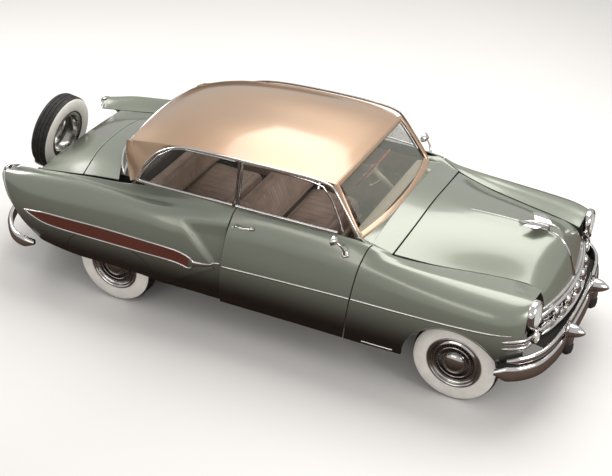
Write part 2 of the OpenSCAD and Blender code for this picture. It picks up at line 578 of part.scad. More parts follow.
module exhaust() {
    color("gray") {
        rod([1300, exhaust_y, exhaust_z], [-2130 * kx, exhaust_y, exhaust_z], 24);
        translate([-620, exhaust_y, exhaust_z]) rotate([0, 90, 0]) cylinder(h = 760, r = 66);
        for (x = [-700, 1000])
            translate([x * kx, exhaust_y, exhaust_z]) cylinder(h = rail_z0 - 4 - seat_gap - exhaust_z, r = 6);
    }
}

// Seats, dashboard and steering
module bench(x0, x1, z0, z1, back_x, back_top, w) {
    block([x0, -w / 2, z0], [x1, w / 2, z1]);
    rings = [for (s = [-1, 1]) [[x0, s * w / 2, z1], [x0 + 150, s * w / 2, z1],
        [back_x + 110, s * w / 2, back_top], [back_x, s * w / 2, back_top]]];
    tube(rings);
}
module front_seat() {
    color("rosybrown") bench(-130, 400, floor_z + floor_t + seat_gap, 690, -260, 1090, seat_w);
}
module rear_seat() {
    color("rosybrown") bench(-1072 * kx, -500 * kx, rear_floor_z + floor_t + seat_gap, 700,
        -1105 * kx + seat_gap, 1000, seat_w - 60);
}
module dashboard() {
    color("wheat") difference() {
        translate([0, 610, 0]) rotate([90, 0, 0]) linear_extrude(1220)
            polygon([[800, 880], [905, 880], [905, 1119.4], [815, 1119.4], [800, 1100]]);
        rod(steer_hub, steer_hub + steer_dir * 700, column_d / 2 + seat_gap);
    }
}
steer_hub = [520, 370, 1075];
steer_dir = [cos(column_angle), 0, -sin(column_angle)];
module steering_column() {
    color("wheat") rod(steer_hub + steer_dir * 40, steer_hub + steer_dir * 712.6, column_d / 2);
}
module at_column() translate(steer_hub) rotate([0, 90 + column_angle, 0]) children();
module steering_wheel() {
    color("firebrick") at_column() {
        rotate_extrude() translate([steering_wheel_d / 2 - steering_rim_d / 2, 0]) circle(d = steering_rim_d);
        translate([0, 0, -6]) cylinder(h = 46 - seat_gap, r = 42);
        for (a = [30, 150, 270]) rotate([0, 0, a]) rotate([0, 90, 0])
            cylinder(h = steering_wheel_d / 2 - steering_rim_d / 2, r = 8);
    }
}

// Wheels and tyres, turning about Y
module wheel_shape(bore) {
    rotate([-90, 0, 0]) difference() {
        rotate_extrude($fn = 72) polygon([[0, 20], [60, 20], [150, 42], [rim_r - 34, 30], [rim_r - 28, -68],
            [rim_r, -72], [rim_r, 72], [rim_r - 14, 74], [rim_r - 22, 56], [150, 62], [96, 52], [60, 66], [0, 72]]);
        translate([0, 0, -10]) cylinder(h = 60, r = bore);
    }
}
module tyre_shape() {
    w = tyre_w / 2;
    rotate([-90, 0, 0]) rotate_extrude($fn = 72) polygon([[rim_r, -w * 0.82], [rim_r + 30, -w * 0.97],
        [rim_r + 70, -w], [tyre_r - 26, -w * 0.93], [tyre_r - 6, -w * 0.76], [tyre_r, -w * 0.6],
        [tyre_r, w * 0.6], [tyre_r - 6, w * 0.76], [tyre_r - 26, w * 0.93], [rim_r + 70, w],
        [rim_r + 30, w * 0.97], [rim_r, w * 0.82]]);
}
module at_wheel(front, side) {
    translate([front ? front_axle_x : rear_axle_x, side * (front ? front_track : rear_track) / 2, wheel_z])
        scale([1, side, 1]) children();
}
bore_r = spindle_r + spindle_play;
module wheel_front_left() { color("silver") at_wheel(true, 1) wheel_shape(bore_r); }
module wheel_front_right() { color("silver") at_wheel(true, -1) wheel_shape(bore_r); }
module wheel_rear_left() { color("silver") at_wheel(false, 1) wheel_shape(bore_r); }
module wheel_rear_right() { color("silver") at_wheel(false, -1) wheel_shape(bore_r); }
module tyre_front_left() { color("black") at_wheel(true, 1) tyre_shape(); }
module tyre_front_right() { color("black") at_wheel(true, -1) tyre_shape(); }
module tyre_rear_left() { color("black") at_wheel(false, 1) tyre_shape(); }
module tyre_rear_right() { color("black") at_wheel(false, -1) tyre_shape(); }

kingpin_y = kingpin_track / 2;
module knuckle() {
    translate([front_axle_x, 0, wheel_z]) {
        translate([0, kingpin_y - 30, 0]) rotate([-90, 0, 0]) cylinder(h = front_track / 2 + 44 - kingpin_y + 30, r = spindle_r);
        translate([0, kingpin_y - 30, 0]) rotate([-90, 0, 0]) cylinder(h = 60, r = 36);
        translate([0, kingpin_y, -105]) cylinder(h = 210, r = kingpin_r);
    }
}
module knuckle_left() { color("gray") knuckle(); }
module knuckle_right() { color("gray") mirror([0, 1, 0]) knuckle(); }
module front_suspension() {
    color("gray") {
        block([front_axle_x - 60, -rail_y, 240], [front_axle_x + 60, rail_y, 300]);
        both() difference() {
            union() {
                block([front_axle_x - 45, rail_y - 20, wheel_z - 100], [front_axle_x + 45, kingpin_y + 24, wheel_z - 76]);
                block([front_axle_x - 35, rail_y + 20, wheel_z + 76], [front_axle_x + 35, kingpin_y + 24, wheel_z + 100]);
            }
            translate([front_axle_x, kingpin_y, wheel_z - 120]) cylinder(h = 240, r = kingpin_r + spindle_play);
        }
    }
}
spring_y = 460;
spring_z = wheel_z - 42;
module rear_axle() {
    color("gray") {
        translate([rear_axle_x, 0, wheel_z]) {
            rotate([-90, 0, 0]) translate([0, 0, -rear_track / 2 + 90]) cylinder(h = rear_track - 180, r = 42);
            rotate([-90, 0, 0]) translate([0, 0, -rear_track / 2 - 44]) cylinder(h = rear_track + 88, r = spindle_r);
            sphere(r = 125);
        }
        rod([rear_axle_x + 80, 0, wheel_z], [1185 - seat_gap, 0, 360], 25);
        both() block([rear_axle_x - 580, spring_y, spring_z - 24], [rear_axle_x + 580, spring_y + 50, spring_z - seat_gap]);
    }
}

// Spare wheel on its tilting carrier
spare_c = [-2252 * kx, 0, 928];
spare_lean = 9.5;
tilt_pivot = [-2405 * kx, 0, 560];
pivot_r = 12;
lug_y = 115;
lug_t = 20;
module at_spare() translate(spare_c) rotate([0, spare_lean, 0]) rotate([0, 0, 90]) children();
module spare_tyre() { color("black") at_spare() tyre_shape(); }
module spare_wheel() { color("silver") at_spare() wheel_shape(8); }
module spare_carrier() {
    color("silver") {
        translate(tilt_pivot - [0, 150, 0]) rotate([-90, 0, 0]) cylinder(h = 300, r = pivot_r);
        block(tilt_pivot - [12, 30, 0], tilt_pivot + [12, 30, 270]);
        block(tilt_pivot + [10, -30, 225], tilt_pivot + [38, 30, 270]);
        at_spare() {
            rotate([-90, 0, 0]) translate([0, 0, 88]) cylinder(h = 8, r = 190);
            rotate([-90, 0, 0]) translate([0, 0, 72]) cylinder(h = 20, r = 60);
        }
    }
}

frame_rail_left();
frame_rail_right();
frame_cross();
spare_mount();
floor_pan();
cowl();
front_fender_left();
front_fender_right();
rear_quarter_left();
rear_quarter_right();
rear_deck();
tail_panel();
roof();
windshield();
rear_window();
quarter_windows();
grille();
radiator();
front_bumper();
rear_bumper();
headlamps();
tail_lamps();
front_seat();
rear_seat();
dashboard();
steering_column();
engine_block();
front_suspension();
rear_axle();
fuel_tank();
exhaust();
hood();
trunk_lid();
spare_carrier();
spare_wheel();
spare_tyre();
door_left();
door_glass_left();
door_right();
door_glass_right();
knuckle_left();
knuckle_right();
wheel_front_left();
tyre_front_left();
wheel_front_right();
tyre_front_right();
wheel_rear_left();
tyre_rear_left();
wheel_rear_right();
tyre_rear_right();
steering_wheel();
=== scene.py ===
"""A two-door coupe of the 1950s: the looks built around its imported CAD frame."""
import math

import bmesh
import bpy
import numpy as np
from mathutils import Matrix, Vector


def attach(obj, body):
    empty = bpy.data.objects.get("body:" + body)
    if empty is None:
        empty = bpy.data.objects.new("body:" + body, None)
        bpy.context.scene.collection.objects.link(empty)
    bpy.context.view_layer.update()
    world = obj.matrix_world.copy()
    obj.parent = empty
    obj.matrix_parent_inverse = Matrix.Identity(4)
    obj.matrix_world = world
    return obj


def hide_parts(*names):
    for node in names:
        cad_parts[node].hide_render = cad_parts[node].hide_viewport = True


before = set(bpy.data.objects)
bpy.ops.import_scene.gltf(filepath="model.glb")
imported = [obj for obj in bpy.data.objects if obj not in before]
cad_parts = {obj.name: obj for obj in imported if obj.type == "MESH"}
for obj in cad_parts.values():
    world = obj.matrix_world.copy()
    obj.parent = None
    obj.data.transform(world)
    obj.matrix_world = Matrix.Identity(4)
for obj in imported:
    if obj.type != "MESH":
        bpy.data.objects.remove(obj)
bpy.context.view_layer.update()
MM = 0.001

# ---------------------------------------------------------------- camera, light, floor
scene = bpy.context.scene
scene.view_settings.view_transform = "Standard"
AZIMUTH, ELEVATION, ROLL = (math.radians(a) for a in (25.77, 32.35, 0.55))
back = np.array([math.sin(AZIMUTH) * math.cos(ELEVATION), -math.cos(AZIMUTH) * math.cos(ELEVATION),
                 math.sin(ELEVATION)])
right = np.array([math.cos(AZIMUTH), math.sin(AZIMUTH), 0])
up = np.cross(back, right)
r2 = math.cos(ROLL) * right + math.sin(ROLL) * up
u2 = -math.sin(ROLL) * right + math.cos(ROLL) * up
cam_data = bpy.data.cameras.new("camera")
cam_data.lens, cam_data.sensor_width = 76.3, 36
cam_data.clip_end = 200
camera = bpy.data.objects.new("camera", cam_data)
scene.collection.objects.link(camera)
camera.matrix_world = Matrix(((r2[0], u2[0], back[0], 4.001), (r2[1], u2[1], back[1], -8.043),
                              (r2[2], u2[2], back[2], 6.167), (0, 0, 0, 1)))
scene.camera = camera


def area(name, at, target, size, power, color=(1, 1, 1), size_y=None):
    data = bpy.data.lights.new(name, "AREA")
    data.energy, data.size, data.color = power, size, color
    if size_y:
        data.shape, data.size_y = "RECTANGLE", size_y
    lamp = bpy.data.objects.new(name, data)
    scene.collection.objects.link(lamp)
    lamp.location = at
    lamp.rotation_euler = (Vector(target) - Vector(at)).to_track_quat("-Z", "Y").to_euler()
    return lamp


area("key", (0.5, 2.5, 6.5), (0, 0, 0.5), 8, 430, (1, 0.985, 0.955), 5)
area("front_fill", (7, -2, 4), (1.5, 0, 0.6), 3, 130, (1, 0.97, 0.94), 2)
area("side_fill", (-1, -8, 5), (0, 0, 0.9), 6, 70, (1, 0.95, 0.9), 1.6)
area("rear_fill", (-7, 1, 4), (-1.5, 0, 0.8), 3, 120, (1, 0.98, 0.95), 2)


# ---------------------------------------------------------------- materials
class Mat:
    """A node material around one Principled shader."""

    def __init__(self, name, rough=0.5, metal=0.0, **fixed):
        self.m = bpy.data.materials.new(name)
        self.m.use_nodes = True
        self.t = self.m.node_tree
        self.p = self.t.nodes["Principled BSDF"]
        self.p.inputs["Roughness"].default_value = rough
        self.p.inputs["Metallic"].default_value = metal
        for key, value in fixed.items():
            self.p.inputs[key.replace("_", " ")].default_value = value
        self.coord = self.node("ShaderNodeTexCoord").outputs["Object"]

    def node(self, kind, **fixed):
        n = self.t.nodes.new(kind)
        for key, value in fixed.items():
            n.inputs[key.replace("_", " ")].default_value = value
        return n

    def link(self, a, b):
        self.t.links.new(a, b)

    def noise(self, scale, detail=3.0):
        n = self.node("ShaderNodeTexNoise", Scale=scale, Detail=detail, Roughness=0.5)
        self.link(self.coord, n.inputs["Vector"])
        return n.outputs["Fac"]

    def ramp(self, fac, stops):
        r = self.node("ShaderNodeValToRGB")
        for e, (pos, color) in zip(r.color_ramp.elements, stops):
            e.position = pos
            e.color = (*color, 1)
        self.link(fac, r.inputs["Fac"])
        return r.outputs["Color"]

    def tint(self, scale, dark, light, detail=3.0):
        self.link(self.ramp(self.noise(scale, detail), [(0.35, dark), (0.65, light)]),
                  self.p.inputs["Base Color"])
        return self

    def rough(self, scale, low, high):
        r = self.node("ShaderNodeMapRange", To_Min=low, To_Max=high, From_Min=0.3, From_Max=0.7)
        self.link(self.noise(scale, 4.0), r.inputs["Value"])
        self.link(r.outputs["Result"], self.p.inputs["Roughness"])
        return self

    def bump(self, strength, distance, scale, detail=3.0):
        """Ends a material with a noise relief of a scale, and returns it."""
        b = self.node("ShaderNodeBump", Strength=strength, Distance=distance)
        self.link(self.noise(scale, detail), b.inputs["Height"])
        self.link(b.outputs["Normal"], self.p.inputs["Normal"])
        return self.m


MIX_FACTOR, MIX_A, MIX_B, MIX_RESULT = 0, 6, 7, 2  # colour sockets of a Mix node


def paint(name, dark, light, metal, rough=(0.2, 0.28), coat=1.0, low=None):
    """Enamel; low = (shade, z from, z to) paints shade into it: its colour falls to a darker painted shade towards the
    sills.
    """
    m = Mat(name, metal=metal, Coat_Weight=coat, Coat_Roughness=0.1)
    color = m.ramp(m.noise(0.7, 1.0), [(0.3, dark), (0.7, light)])
    # painted shade: below z_to the colour blends by object height into the shade colour, fully shaded at z_from
    if low:
        shade, z_from, z_to = low
        xyz, blend = m.node("ShaderNodeSeparateXYZ"), m.node("ShaderNodeMix")
        span = m.node("ShaderNodeMapRange", From_Min=z_from, From_Max=z_to)
        span.interpolation_type = "SMOOTHSTEP"
        m.link(m.coord, xyz.inputs[0])
        m.link(xyz.outputs["Z"], span.inputs["Value"])
        blend.data_type = "RGBA"
        blend.inputs[MIX_A].default_value = (*shade, 1)
        m.link(span.outputs["Result"], blend.inputs[MIX_FACTOR])
        m.link(color, blend.inputs[MIX_B])
        color = blend.outputs[MIX_RESULT]
    m.link(color, m.p.inputs["Base Color"])
    m.rough(1.6, *rough)
    return m.bump(0.02, 0.002, 5, 1.0)


def metal(name, dark, light, rough=(0.05, 0.14), scale=6.0):
    m = Mat(name, metal=1.0)
    m.tint(scale, dark, light)
    m.rough(scale * 3, *rough)
    return m.bump(0.03, 0.002, 14, 2.0)


# the sage enamel carries painted shade, near black at 0.42 m and clean above 0.85 m
GREEN = paint("sage_paint", (0.235, 0.256, 0.208), (0.255, 0.277, 0.226), 0.4, (0.28, 0.32),
              low=((0.020, 0.014, 0.011), 0.42, 0.85))
TAN = paint("champagne_paint", (0.47, 0.31, 0.20), (0.52, 0.35, 0.23), 0.6, (0.28, 0.34))
CHROME = metal("bright_chrome", (0.74, 0.73, 0.72), (0.9, 0.89, 0.88))
WHEEL_CHROME = metal("wheel_chrome", (0.5, 0.49, 0.48), (0.78, 0.77, 0.75), (0.08, 0.2))
DARK_CHROME = metal("shadow_chrome", (0.05, 0.045, 0.042), (0.14, 0.13, 0.125), (0.18, 0.34), 12)
RED_INSERT = paint("spear_red", (0.135, 0.036, 0.022), (0.165, 0.045, 0.028), 0.3, (0.26, 0.32))
BLACK = Mat("chassis_black").tint(8, (0.012, 0.012, 0.012), (0.03, 0.028, 0.026)).rough(12, 0.4, 0.6).bump(
    0.2, 0.002, 60)
# near black: the real black of the dial faces and the skirt seam, and painted shade on the sheets behind the grille
# and bumper and on the gravel pan
DARK = Mat("black_and_painted_shade", rough=0.8).tint(5, (0.006, 0.006, 0.006), (0.014, 0.013, 0.012)).m
RUBBER = Mat("tyre_rubber").tint(30, (0.012, 0.011, 0.011), (0.028, 0.026, 0.025)).rough(40, 0.5, 0.72).bump(
    0.25, 0.001, 220)
WHITE = Mat("whitewall", Specular_IOR_Level=0.4).tint(14, (0.74, 0.71, 0.66), (0.80, 0.775, 0.73)).rough(
    30, 0.38, 0.55).bump(0.12, 0.0008, 160)
LEATHER = Mat("seat_leather", Specular_IOR_Level=0.45).tint(5, (0.46, 0.33, 0.27), (0.62, 0.47, 0.39)).rough(
    25, 0.38, 0.55).bump(0.3, 0.0012, 170, 5.0)
CREAM = paint("cream_enamel", (0.58, 0.50, 0.37), (0.68, 0.60, 0.46), 0.0, (0.24, 0.34), 0.6)
RED = paint("steering_red", (0.42, 0.035, 0.02), (0.55, 0.06, 0.03), 0.0, (0.15, 0.22), 0.8)
CARPET = Mat("floor_carpet", Sheen_Weight=0.4).tint(140, (0.035, 0.024, 0.02), (0.085, 0.06, 0.048), 6.0).rough(
    60, 0.8, 0.95).bump(0.6, 0.003, 400, 6.0)
ENGINE = Mat("engine_paint", metal=0.2).tint(18, (0.05, 0.09, 0.11), (0.10, 0.16, 0.19)).rough(20, 0.4, 0.65).bump(
    0.3, 0.001, 120)
STEEL = metal("exhaust_steel", (0.16, 0.14, 0.12), (0.34, 0.31, 0.28), (0.35, 0.6), 20)
LENS, TAIL_LENS = (Mat(name, Coat_Weight=1.0).tint(8, dark, light).rough(20, 0.08, 0.16).bump(0.2, 0.002, 90)
                   for name, dark, light in (("parking_lens", (0.62, 0.56, 0.48), (0.78, 0.73, 0.66)),
                                             ("tail_lens", (0.10, 0.006, 0.005), (0.2, 0.012, 0.01))))


def glass(name, tone, low, high):
    m = Mat(name, Specular_IOR_Level=0.6).tint(1.2, tone, tuple(c * 1.15 for c in tone)).rough(4, 0.01, 0.03)
    weight = m.node("ShaderNodeLayerWeight", Blend=0.35)
    r = m.node("ShaderNodeMapRange", To_Min=low, To_Max=high)
    m.link(weight.outputs["Fresnel"], r.inputs["Value"])
    m.link(r.outputs["Result"], m.p.inputs["Alpha"])
    return m.m


MIRROR = metal("mirror_silver", (0.7, 0.72, 0.74), (0.8, 0.82, 0.84), (0.02, 0.04), 3)
GLASS = glass("window_glass", (0.30, 0.32, 0.28), 0.02, 0.45)
LAMP_GLASS = glass("lamp_glass", (0.6, 0.62, 0.6), 0.25, 0.85)
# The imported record's material slot that each material goes with
SLOT = {GREEN: "body_green", TAN: "roof_champagne", CHROME: "bright_chrome", GLASS: "window_glass",
        LEATHER: "seat_leather", DARK: "frame_black", RUBBER: "tyre_rubber", WHEEL_CHROME: "wheel_chrome",
        CREAM: "cream_paint", RED: "steering_red", MIRROR: "bright_chrome", LENS: "bright_chrome",
        LAMP_GLASS: "bright_chrome", WHITE: "tyre_rubber", CARPET: "floor_metal", DARK_CHROME: "wheel_chrome", RED_INSERT: "body_green",
        TAIL_LENS: "lamp_red"}


# ---------------------------------------------------------------- mesh helpers
class Shape:
    """Vertices in metres and faces, gathered before they become an object."""

    def __init__(self):
        self.v, self.f = [], []

    def add(self, verts, faces):
        o = len(self.v)
        self.v += [tuple(map(float, p)) for p in verts]
        self.f += [tuple(i + o for i in face) for face in faces]
        return self

    def both(self):
        """Adds the mirror image across the car's middle."""
        o = len(self.v)
        self.v += [(x, -y, z) for x, y, z in self.v]
        self.f += [tuple(i + o for i in reversed(face)) for face in self.f]
        return self

    def flipped(self):
        """Only the mirror image."""
        self.v = [(x, -y, z) for x, y, z in self.v]
        self.f = [tuple(reversed(face)) for face in self.f]
        return self


def make(name, shape, mat, body="body", replaces=(), angle=40, bevel=0.0, slot=None):
    """Object from a shape on a body, its edges above angle degrees sharp and bevelled by bevel metres."""
    mesh = bpy.data.meshes.new(name)
    mesh.from_pydata(shape.v, [], shape.f)
    mesh.validate()
    mesh.polygons.foreach_set("use_smooth", [True] * len(mesh.polygons))
    mesh.set_sharp_from_angle(angle=math.radians(angle))
    mesh.materials.append(mat)
    o = bpy.data.objects.new(name, mesh)
    scene.collection.objects.link(o)
    if bevel:
        b = o.modifiers.new("edges", "BEVEL")
        b.width, b.segments, b.limit_method, b.angle_limit = bevel, 2, "ANGLE", math.radians(angle)
        b.harden_normals = False
    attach(o, body)
    slot or SLOT[mat]
    if replaces:
        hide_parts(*replaces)
    return o


def unit(v):
    v = np.asarray(v, float)
    return v / np.maximum(np.linalg.norm(v, axis=-1, keepdims=True), 1e-12)


def grid_faces(n, m, o=0, wrap=False):
    last = m if wrap else m - 1
    return [(o + i * m + j, o + (i + 1) * m + j, o + (i + 1) * m + (j + 1) % m, o + i * m + (j + 1) % m)
            for i in range(n - 1) for j in range(last)]


def normals(g):
    return unit(np.cross(np.gradient(g, axis=0), np.gradient(g, axis=1)))


def sheet_between(shape, g, h):
    """Closed solid between grids g and h (in metres), g on the outside."""
    n, m = g.shape[:2]
    o = n * m
    faces = [f[::-1] for f in grid_faces(n, m, 0)] + grid_faces(n, m, o)
    ring = [i * m for i in range(n)] + [(n - 1) * m + j for j in range(1, m)]
    ring += [i * m + m - 1 for i in range(n - 2, -1, -1)] + [j for j in range(m - 2, 0, -1)]
    for a, b in zip(ring, ring[1:] + ring[:1]):
        faces.append((a, b, b + o, a + o))
    verts = np.concatenate([g.reshape(-1, 3), h.reshape(-1, 3)])
    area_sum = np.einsum("ijk,ijk->", np.cross(np.gradient(g, axis=0), np.gradient(g, axis=1)), g - h)
    if area_sum > 0:
        faces = [f[::-1] for f in faces]
    return shape.add(verts, faces)


def panel(g, t, sign=1):
    """Panel of thickness t (mm) behind grid g (mm), whose normals times sign point out."""
    return sheet_between(Shape(), g * MM, (g - sign * t * normals(g)) * MM)


def sweep(path, profile, up=(0, 0, 1), shape=None, closed=False, scale=None):
    """Profile (mm: across, out) carried along path (mm); up points out of the surface."""
    p = np.asarray(path, float)
    n, k = len(p), len(profile)
    t = unit(np.roll(p, -1, 0) - np.roll(p, 1, 0)) if closed else unit(np.gradient(p, axis=0))
    u = np.broadcast_to(np.asarray(up, float), p.shape)
    side = unit(np.cross(u, t))
    top = np.cross(t, side)
    q = np.asarray(profile, float)
    s = np.ones(n) if scale is None else np.asarray(scale, float)
    rings = (p[:, None] + side[:, None] * (q[None, :, :1] * s[:, None, None])
             + top[:, None] * (q[None, :, 1:] * s[:, None, None])) * MM
    faces = grid_faces(n, k, 0, True)
    if closed:
        faces += [((n - 1) * k + j, j, (j + 1) % k, (n - 1) * k + (j + 1) % k) for j in range(k)]
    else:
        faces += [tuple(range(k)), tuple((n - 1) * k + j for j in reversed(range(k)))]
    if np.cross(q, np.roll(q, -1, 0)).sum() > 0:
        faces = [f[::-1] for f in faces]
    return (shape or Shape()).add(rings.reshape(-1, 3), faces)


def round_profile(w, h, n=10, flat=0.0):
    """Half-round bead of width w and height h, its flat side at -flat."""
    a = np.linspace(0, math.pi, n)
    return [(w / 2 * math.cos(x), h * math.sin(x) - flat) for x in a] + [(-w / 2, -flat - 1), (w / 2, -flat - 1)]


def circle(r, n=12, ry=None):
    a = np.arange(n) * 2 * math.pi / n
    return [(r * math.cos(x), (ry or r) * math.sin(x)) for x in a]


def frame_of(axis):
    """Rows: two directions across an axis, and the axis."""
    a = unit(axis)
    b = unit(np.cross((0, 0, 1), a)) if abs(a[2]) < 0.99 else unit(np.cross((1, 0, 0), a))
    return np.array([b, np.cross(a, b), a])


def lathe(profile, at, axis, seg=64, shape=None, squash=(1, 1)):
    """Profile (mm: radius, height) turned about axis from point at (mm)."""
    f = frame_of(axis)
    a = np.arange(seg) * 2 * math.pi / seg
    q = np.asarray(profile, float)
    ring = np.stack([np.cos(a) * squash[0], np.sin(a) * squash[1], np.zeros(seg)], 1)
    pts = (np.asarray(at, float) + q[:, None, :1] * (ring @ f)[None] + q[:, None, 1:] * f[2]) * MM
    faces = grid_faces(len(q), seg, 0, True)
    for row in np.flatnonzero(q[:, 0] < 1e-6):
        pts[row] = pts[row].mean(0)
    return weld(shape or Shape(), pts.reshape(-1, 3), faces)


def weld(shape, pts, faces):
    """Adds faces with vertices at one place joined, and faces that vanish left out."""
    key, index, out = {}, [], []
    for p in np.round(pts, 6):
        k = tuple(p)
        if k not in key:
            key[k] = len(out)
            out.append(p)
        index.append(key[k])
    clean = []
    for f in faces:
        g = []
        for i in f:
            if index[i] not in g:
                g.append(index[i])
        if len(g) > 2:
            clean.append(tuple(g))
    return shape.add(out, clean)


def smooth_path(points, n):
    """n points on a Catmull-Rom curve through the given points, evenly by length."""
    p = np.asarray(points, float)
    ext = np.vstack([2 * p[0] - p[1], p, 2 * p[-1] - p[-2]])
    out = []
    for i in range(len(p) - 1):
        a, b, c, d = ext[i:i + 4]
        for t in np.linspace(0, 1, 24, endpoint=i == len(p) - 2):
            out.append(0.5 * (2 * b + (c - a) * t + (2 * a - 5 * b + 4 * c - d) * t * t
                              + (3 * b - a - 3 * c + d) * t ** 3))
    out = np.array(out)
    s = np.concatenate([[0], np.cumsum(np.linalg.norm(np.diff(out, axis=0), axis=1))])
    w = np.linspace(0, s[-1], n)
    return np.stack([np.interp(w, s, out[:, k]) for k in range(out.shape[1])], 1)


# ---------------------------------------------------------------- the CAD's surfaces, in mm
SIDE = np.array([
    # x      a         v          b          c         d         e         f
    [-2290, 600, 880, 660, 890, 745, 920, 790, 880, 815, 760, 812, 620, 785, 470],
    [-2150, 602, 900, 642, 905, 757, 947, 832, 890, 868, 750, 862, 590, 830, 450],
    [-2000, 606, 918, 646, 914, 772, 977, 862, 900, 905, 745, 896, 580, 862, 440],
    [-1750, 616, 950, 662, 944, 785, 1006, 885, 915, 930, 740, 922, 560, 885, 405],
    [-1500, 632, 988, 680, 966, 800, 1026, 898, 925, 942, 735, 934, 550, 897, 388],
    [-1200, 668, 1035, 708, 984, 817, 1031, 905, 930, 945, 730, 938, 545, 898, 388],
    [-900, 706, 1098, 738, 1006, 832, 1022, 908, 925, 945, 725, 938, 540, 896, 380],
    [-600, 735, 1132, 762, 1060, 838, 1012, 905, 915, 940, 725, 934, 530, 890, 345],
    [-350, 745, 1140, 775, 1092, 832, 1028, 887, 930, 932, 725, 924, 520, 880, 332],
    [-100, 750, 1142, 785, 1107, 830, 1036, 873, 940, 925, 725, 916, 520, 875, 330],
    [400, 750, 1146, 787, 1116, 828, 1042, 868, 945, 922, 725, 914, 520, 875, 330],
    [960, 735, 1122, 772, 1102, 820, 1040, 870, 950, 925, 730, 916, 520, 878, 330],
    [1150, 692, 1048, 740, 1052, 800, 1035, 872, 955, 930, 740, 920, 520, 880, 335],
    [1400, 630, 1008, 700, 1018, 780, 1020, 880, 945, 935, 755, 925, 530, 885, 345],
    [1710, 556, 990, 660, 1000, 762, 1003, 882, 930, 936, 765, 926, 545, 888, 365],
    [1990, 500, 975, 620, 985, 740, 990, 866, 920, 920, 775, 908, 565, 876, 430],
    [2120, 482, 958, 600, 972, 722, 980, 838, 915, 888, 785, 876, 590, 850, 480],
    [2200, 474, 942, 590, 960, 705, 970, 800, 905, 840, 790, 828, 610, 806, 500],
    [2245, 470, 928, 585, 945, 690, 955, 755, 895, 782, 800, 772, 640, 755, 520]], float)
STEPS = np.array([0, 1, 2, 3.3, 5.3, 7.3, 9.3])
T_SILL = 9.3
HOOD = np.array([
    [0, 1195, 1150, 1190, 340, 1126, 1152, 1047],
    [1, 1500, 1160, 1500, 300, 1120, 1450, 1003],
    [2, 1800, 1156, 1790, 262, 1112, 1760, 986],
    [3, 2050, 1140, 2030, 232, 1092, 2000, 972],
    [4, 2180, 1105, 2150, 218, 1060, 2120, 956],
    [5, 2258, 1010, 2232, 222, 980, 2200, 915],
    [6, 2300, 900, 2276, 240, 880, 2236, 850],
    [7, 2322, 806, 2296, 260, 800, 2250, 796]], float)
ROOF = np.array([
    [655, 1476, 350, 1470, 590, 1452],
    [560, 1520, 350, 1512, 622, 1478],
    [350, 1570, 350, 1560, 645, 1500],
    [0, 1597, 350, 1586, 655, 1506],
    [-350, 1590, 350, 1578, 650, 1500],
    [-700, 1555, 345, 1540, 630, 1470],
    [-950, 1500, 335, 1485, 605, 1425],
    [-1150, 1425, 320, 1415, 560, 1370]], float)[::-1]
DECK = np.array([
    [0, -1430, 1086, -1240], [1, -1550, 1072, -1440], [2, -1660, 1053, -1600],
    [3, -1800, 1020, -1760], [4, -1960, 966, -1920], [5, -2050, 912, -2030],
    [6, -2098, 840, -2085], [7, -2118, 750, -2105]], float)
TAIL = np.array([[0, -2225], [2, -2256], [3.3, -2240], [5.3, -2172], [7.3, -2050], [9.3, -1880]], float)
AXLE_X, REAR_AXLE_X, WHEEL_Z, ARCH_R = 1710.0, -1211.0, 333.0, 385.0


def curve(tab, x):
    """All columns of a table at x, with tangents from the neighbouring rows."""
    tab = np.asarray(tab, float)
    i = int(np.clip(np.searchsorted(tab[:, 0], x, side="right") - 1, 0, len(tab) - 2))
    h = tab[i + 1, 0] - tab[i, 0]
    t = (x - tab[i, 0]) / h

    def slope(k):
        a, b = max(k - 1, 0), min(k + 1, len(tab) - 1)
        return (tab[b, 1:] - tab[a, 1:]) / (tab[b, 0] - tab[a, 0])

    return ((2 * t ** 3 - 3 * t * t + 1) * tab[i, 1:] + (t ** 3 - 2 * t * t + t) * h * slope(i)
            + (3 * t * t - 2 * t ** 3) * tab[i + 1, 1:] + (t ** 3 - t * t) * h * slope(i + 1))


def section(x):
    return np.column_stack([STEPS, curve(SIDE, x).reshape(7, 2)])


def side_point(x, t):
    return np.array([x, *curve(section(x), t)])


def step_at(x, z):
    s, lo, hi = section(x), 2.0, T_SILL
    for _ in range(22):
        m = (lo + hi) / 2
        lo, hi = (m, hi) if curve(s, m)[1] > z else (lo, m)
    return (lo + hi) / 2


def mix(a, b, t):
    return a + (b - a) * t


def ease(a, b, x):
    t = min(1.0, max(0.0, (x - a) / (b - a)))
    return t * t * (3 - 2 * t)


def door_front(t):
    return 1003 - 16 * t


def door_rear(t):
    return -103 - 11 * t


# Front fender
def opening_z(x):
    d = abs(x - AXLE_X)
    return 0.0 if d >= ARCH_R else WHEEL_Z + math.sqrt(ARCH_R ** 2 - d * d)


FENDER_BACK, FENDER_NOSE, DOOR_GAP = door_front(T_SILL) + 5, 2214.0, 10.0


def fender_point(x, v):
    back_part = max(0, min(1, (AXLE_X - ARCH_R - x) / (AXLE_X - ARCH_R - FENDER_BACK)))
    xs = x + back_part * (door_front(v * T_SILL) - door_front(T_SILL))
    zo = opening_z(x)
    last = step_at(xs, zo) if zo > section(xs)[6, 2] else T_SILL
    return side_point(xs, v * last)


fender_xs = np.concatenate([np.linspace(FENDER_BACK, AXLE_X - ARCH_R, 20)[:-1],
                            AXLE_X - ARCH_R * np.cos(np.radians(np.arange(0, 180.1, 4))),
                            np.linspace(AXLE_X + ARCH_R, FENDER_NOSE, 12)[1:]])
V = np.linspace(0, 1, 57)
fender_grid = np.array([[fender_point(x, v) for v in V] for x in fender_xs])


# Rear quarter
def lead_x(z):
    return -555 + (1030 - z) if z > 700 else -225.0 if z > 640 else -245 - (640 - z) * 1.6


def quarter_rise(x, z, t):
    rise = 26 * ease(30, -30, x - lead_x(z)) * ease(2, 3.6, t) - 26
    return rise * ease(-800, -500, x) * ease(2, 3.6, t) if t > 2 else 0.0


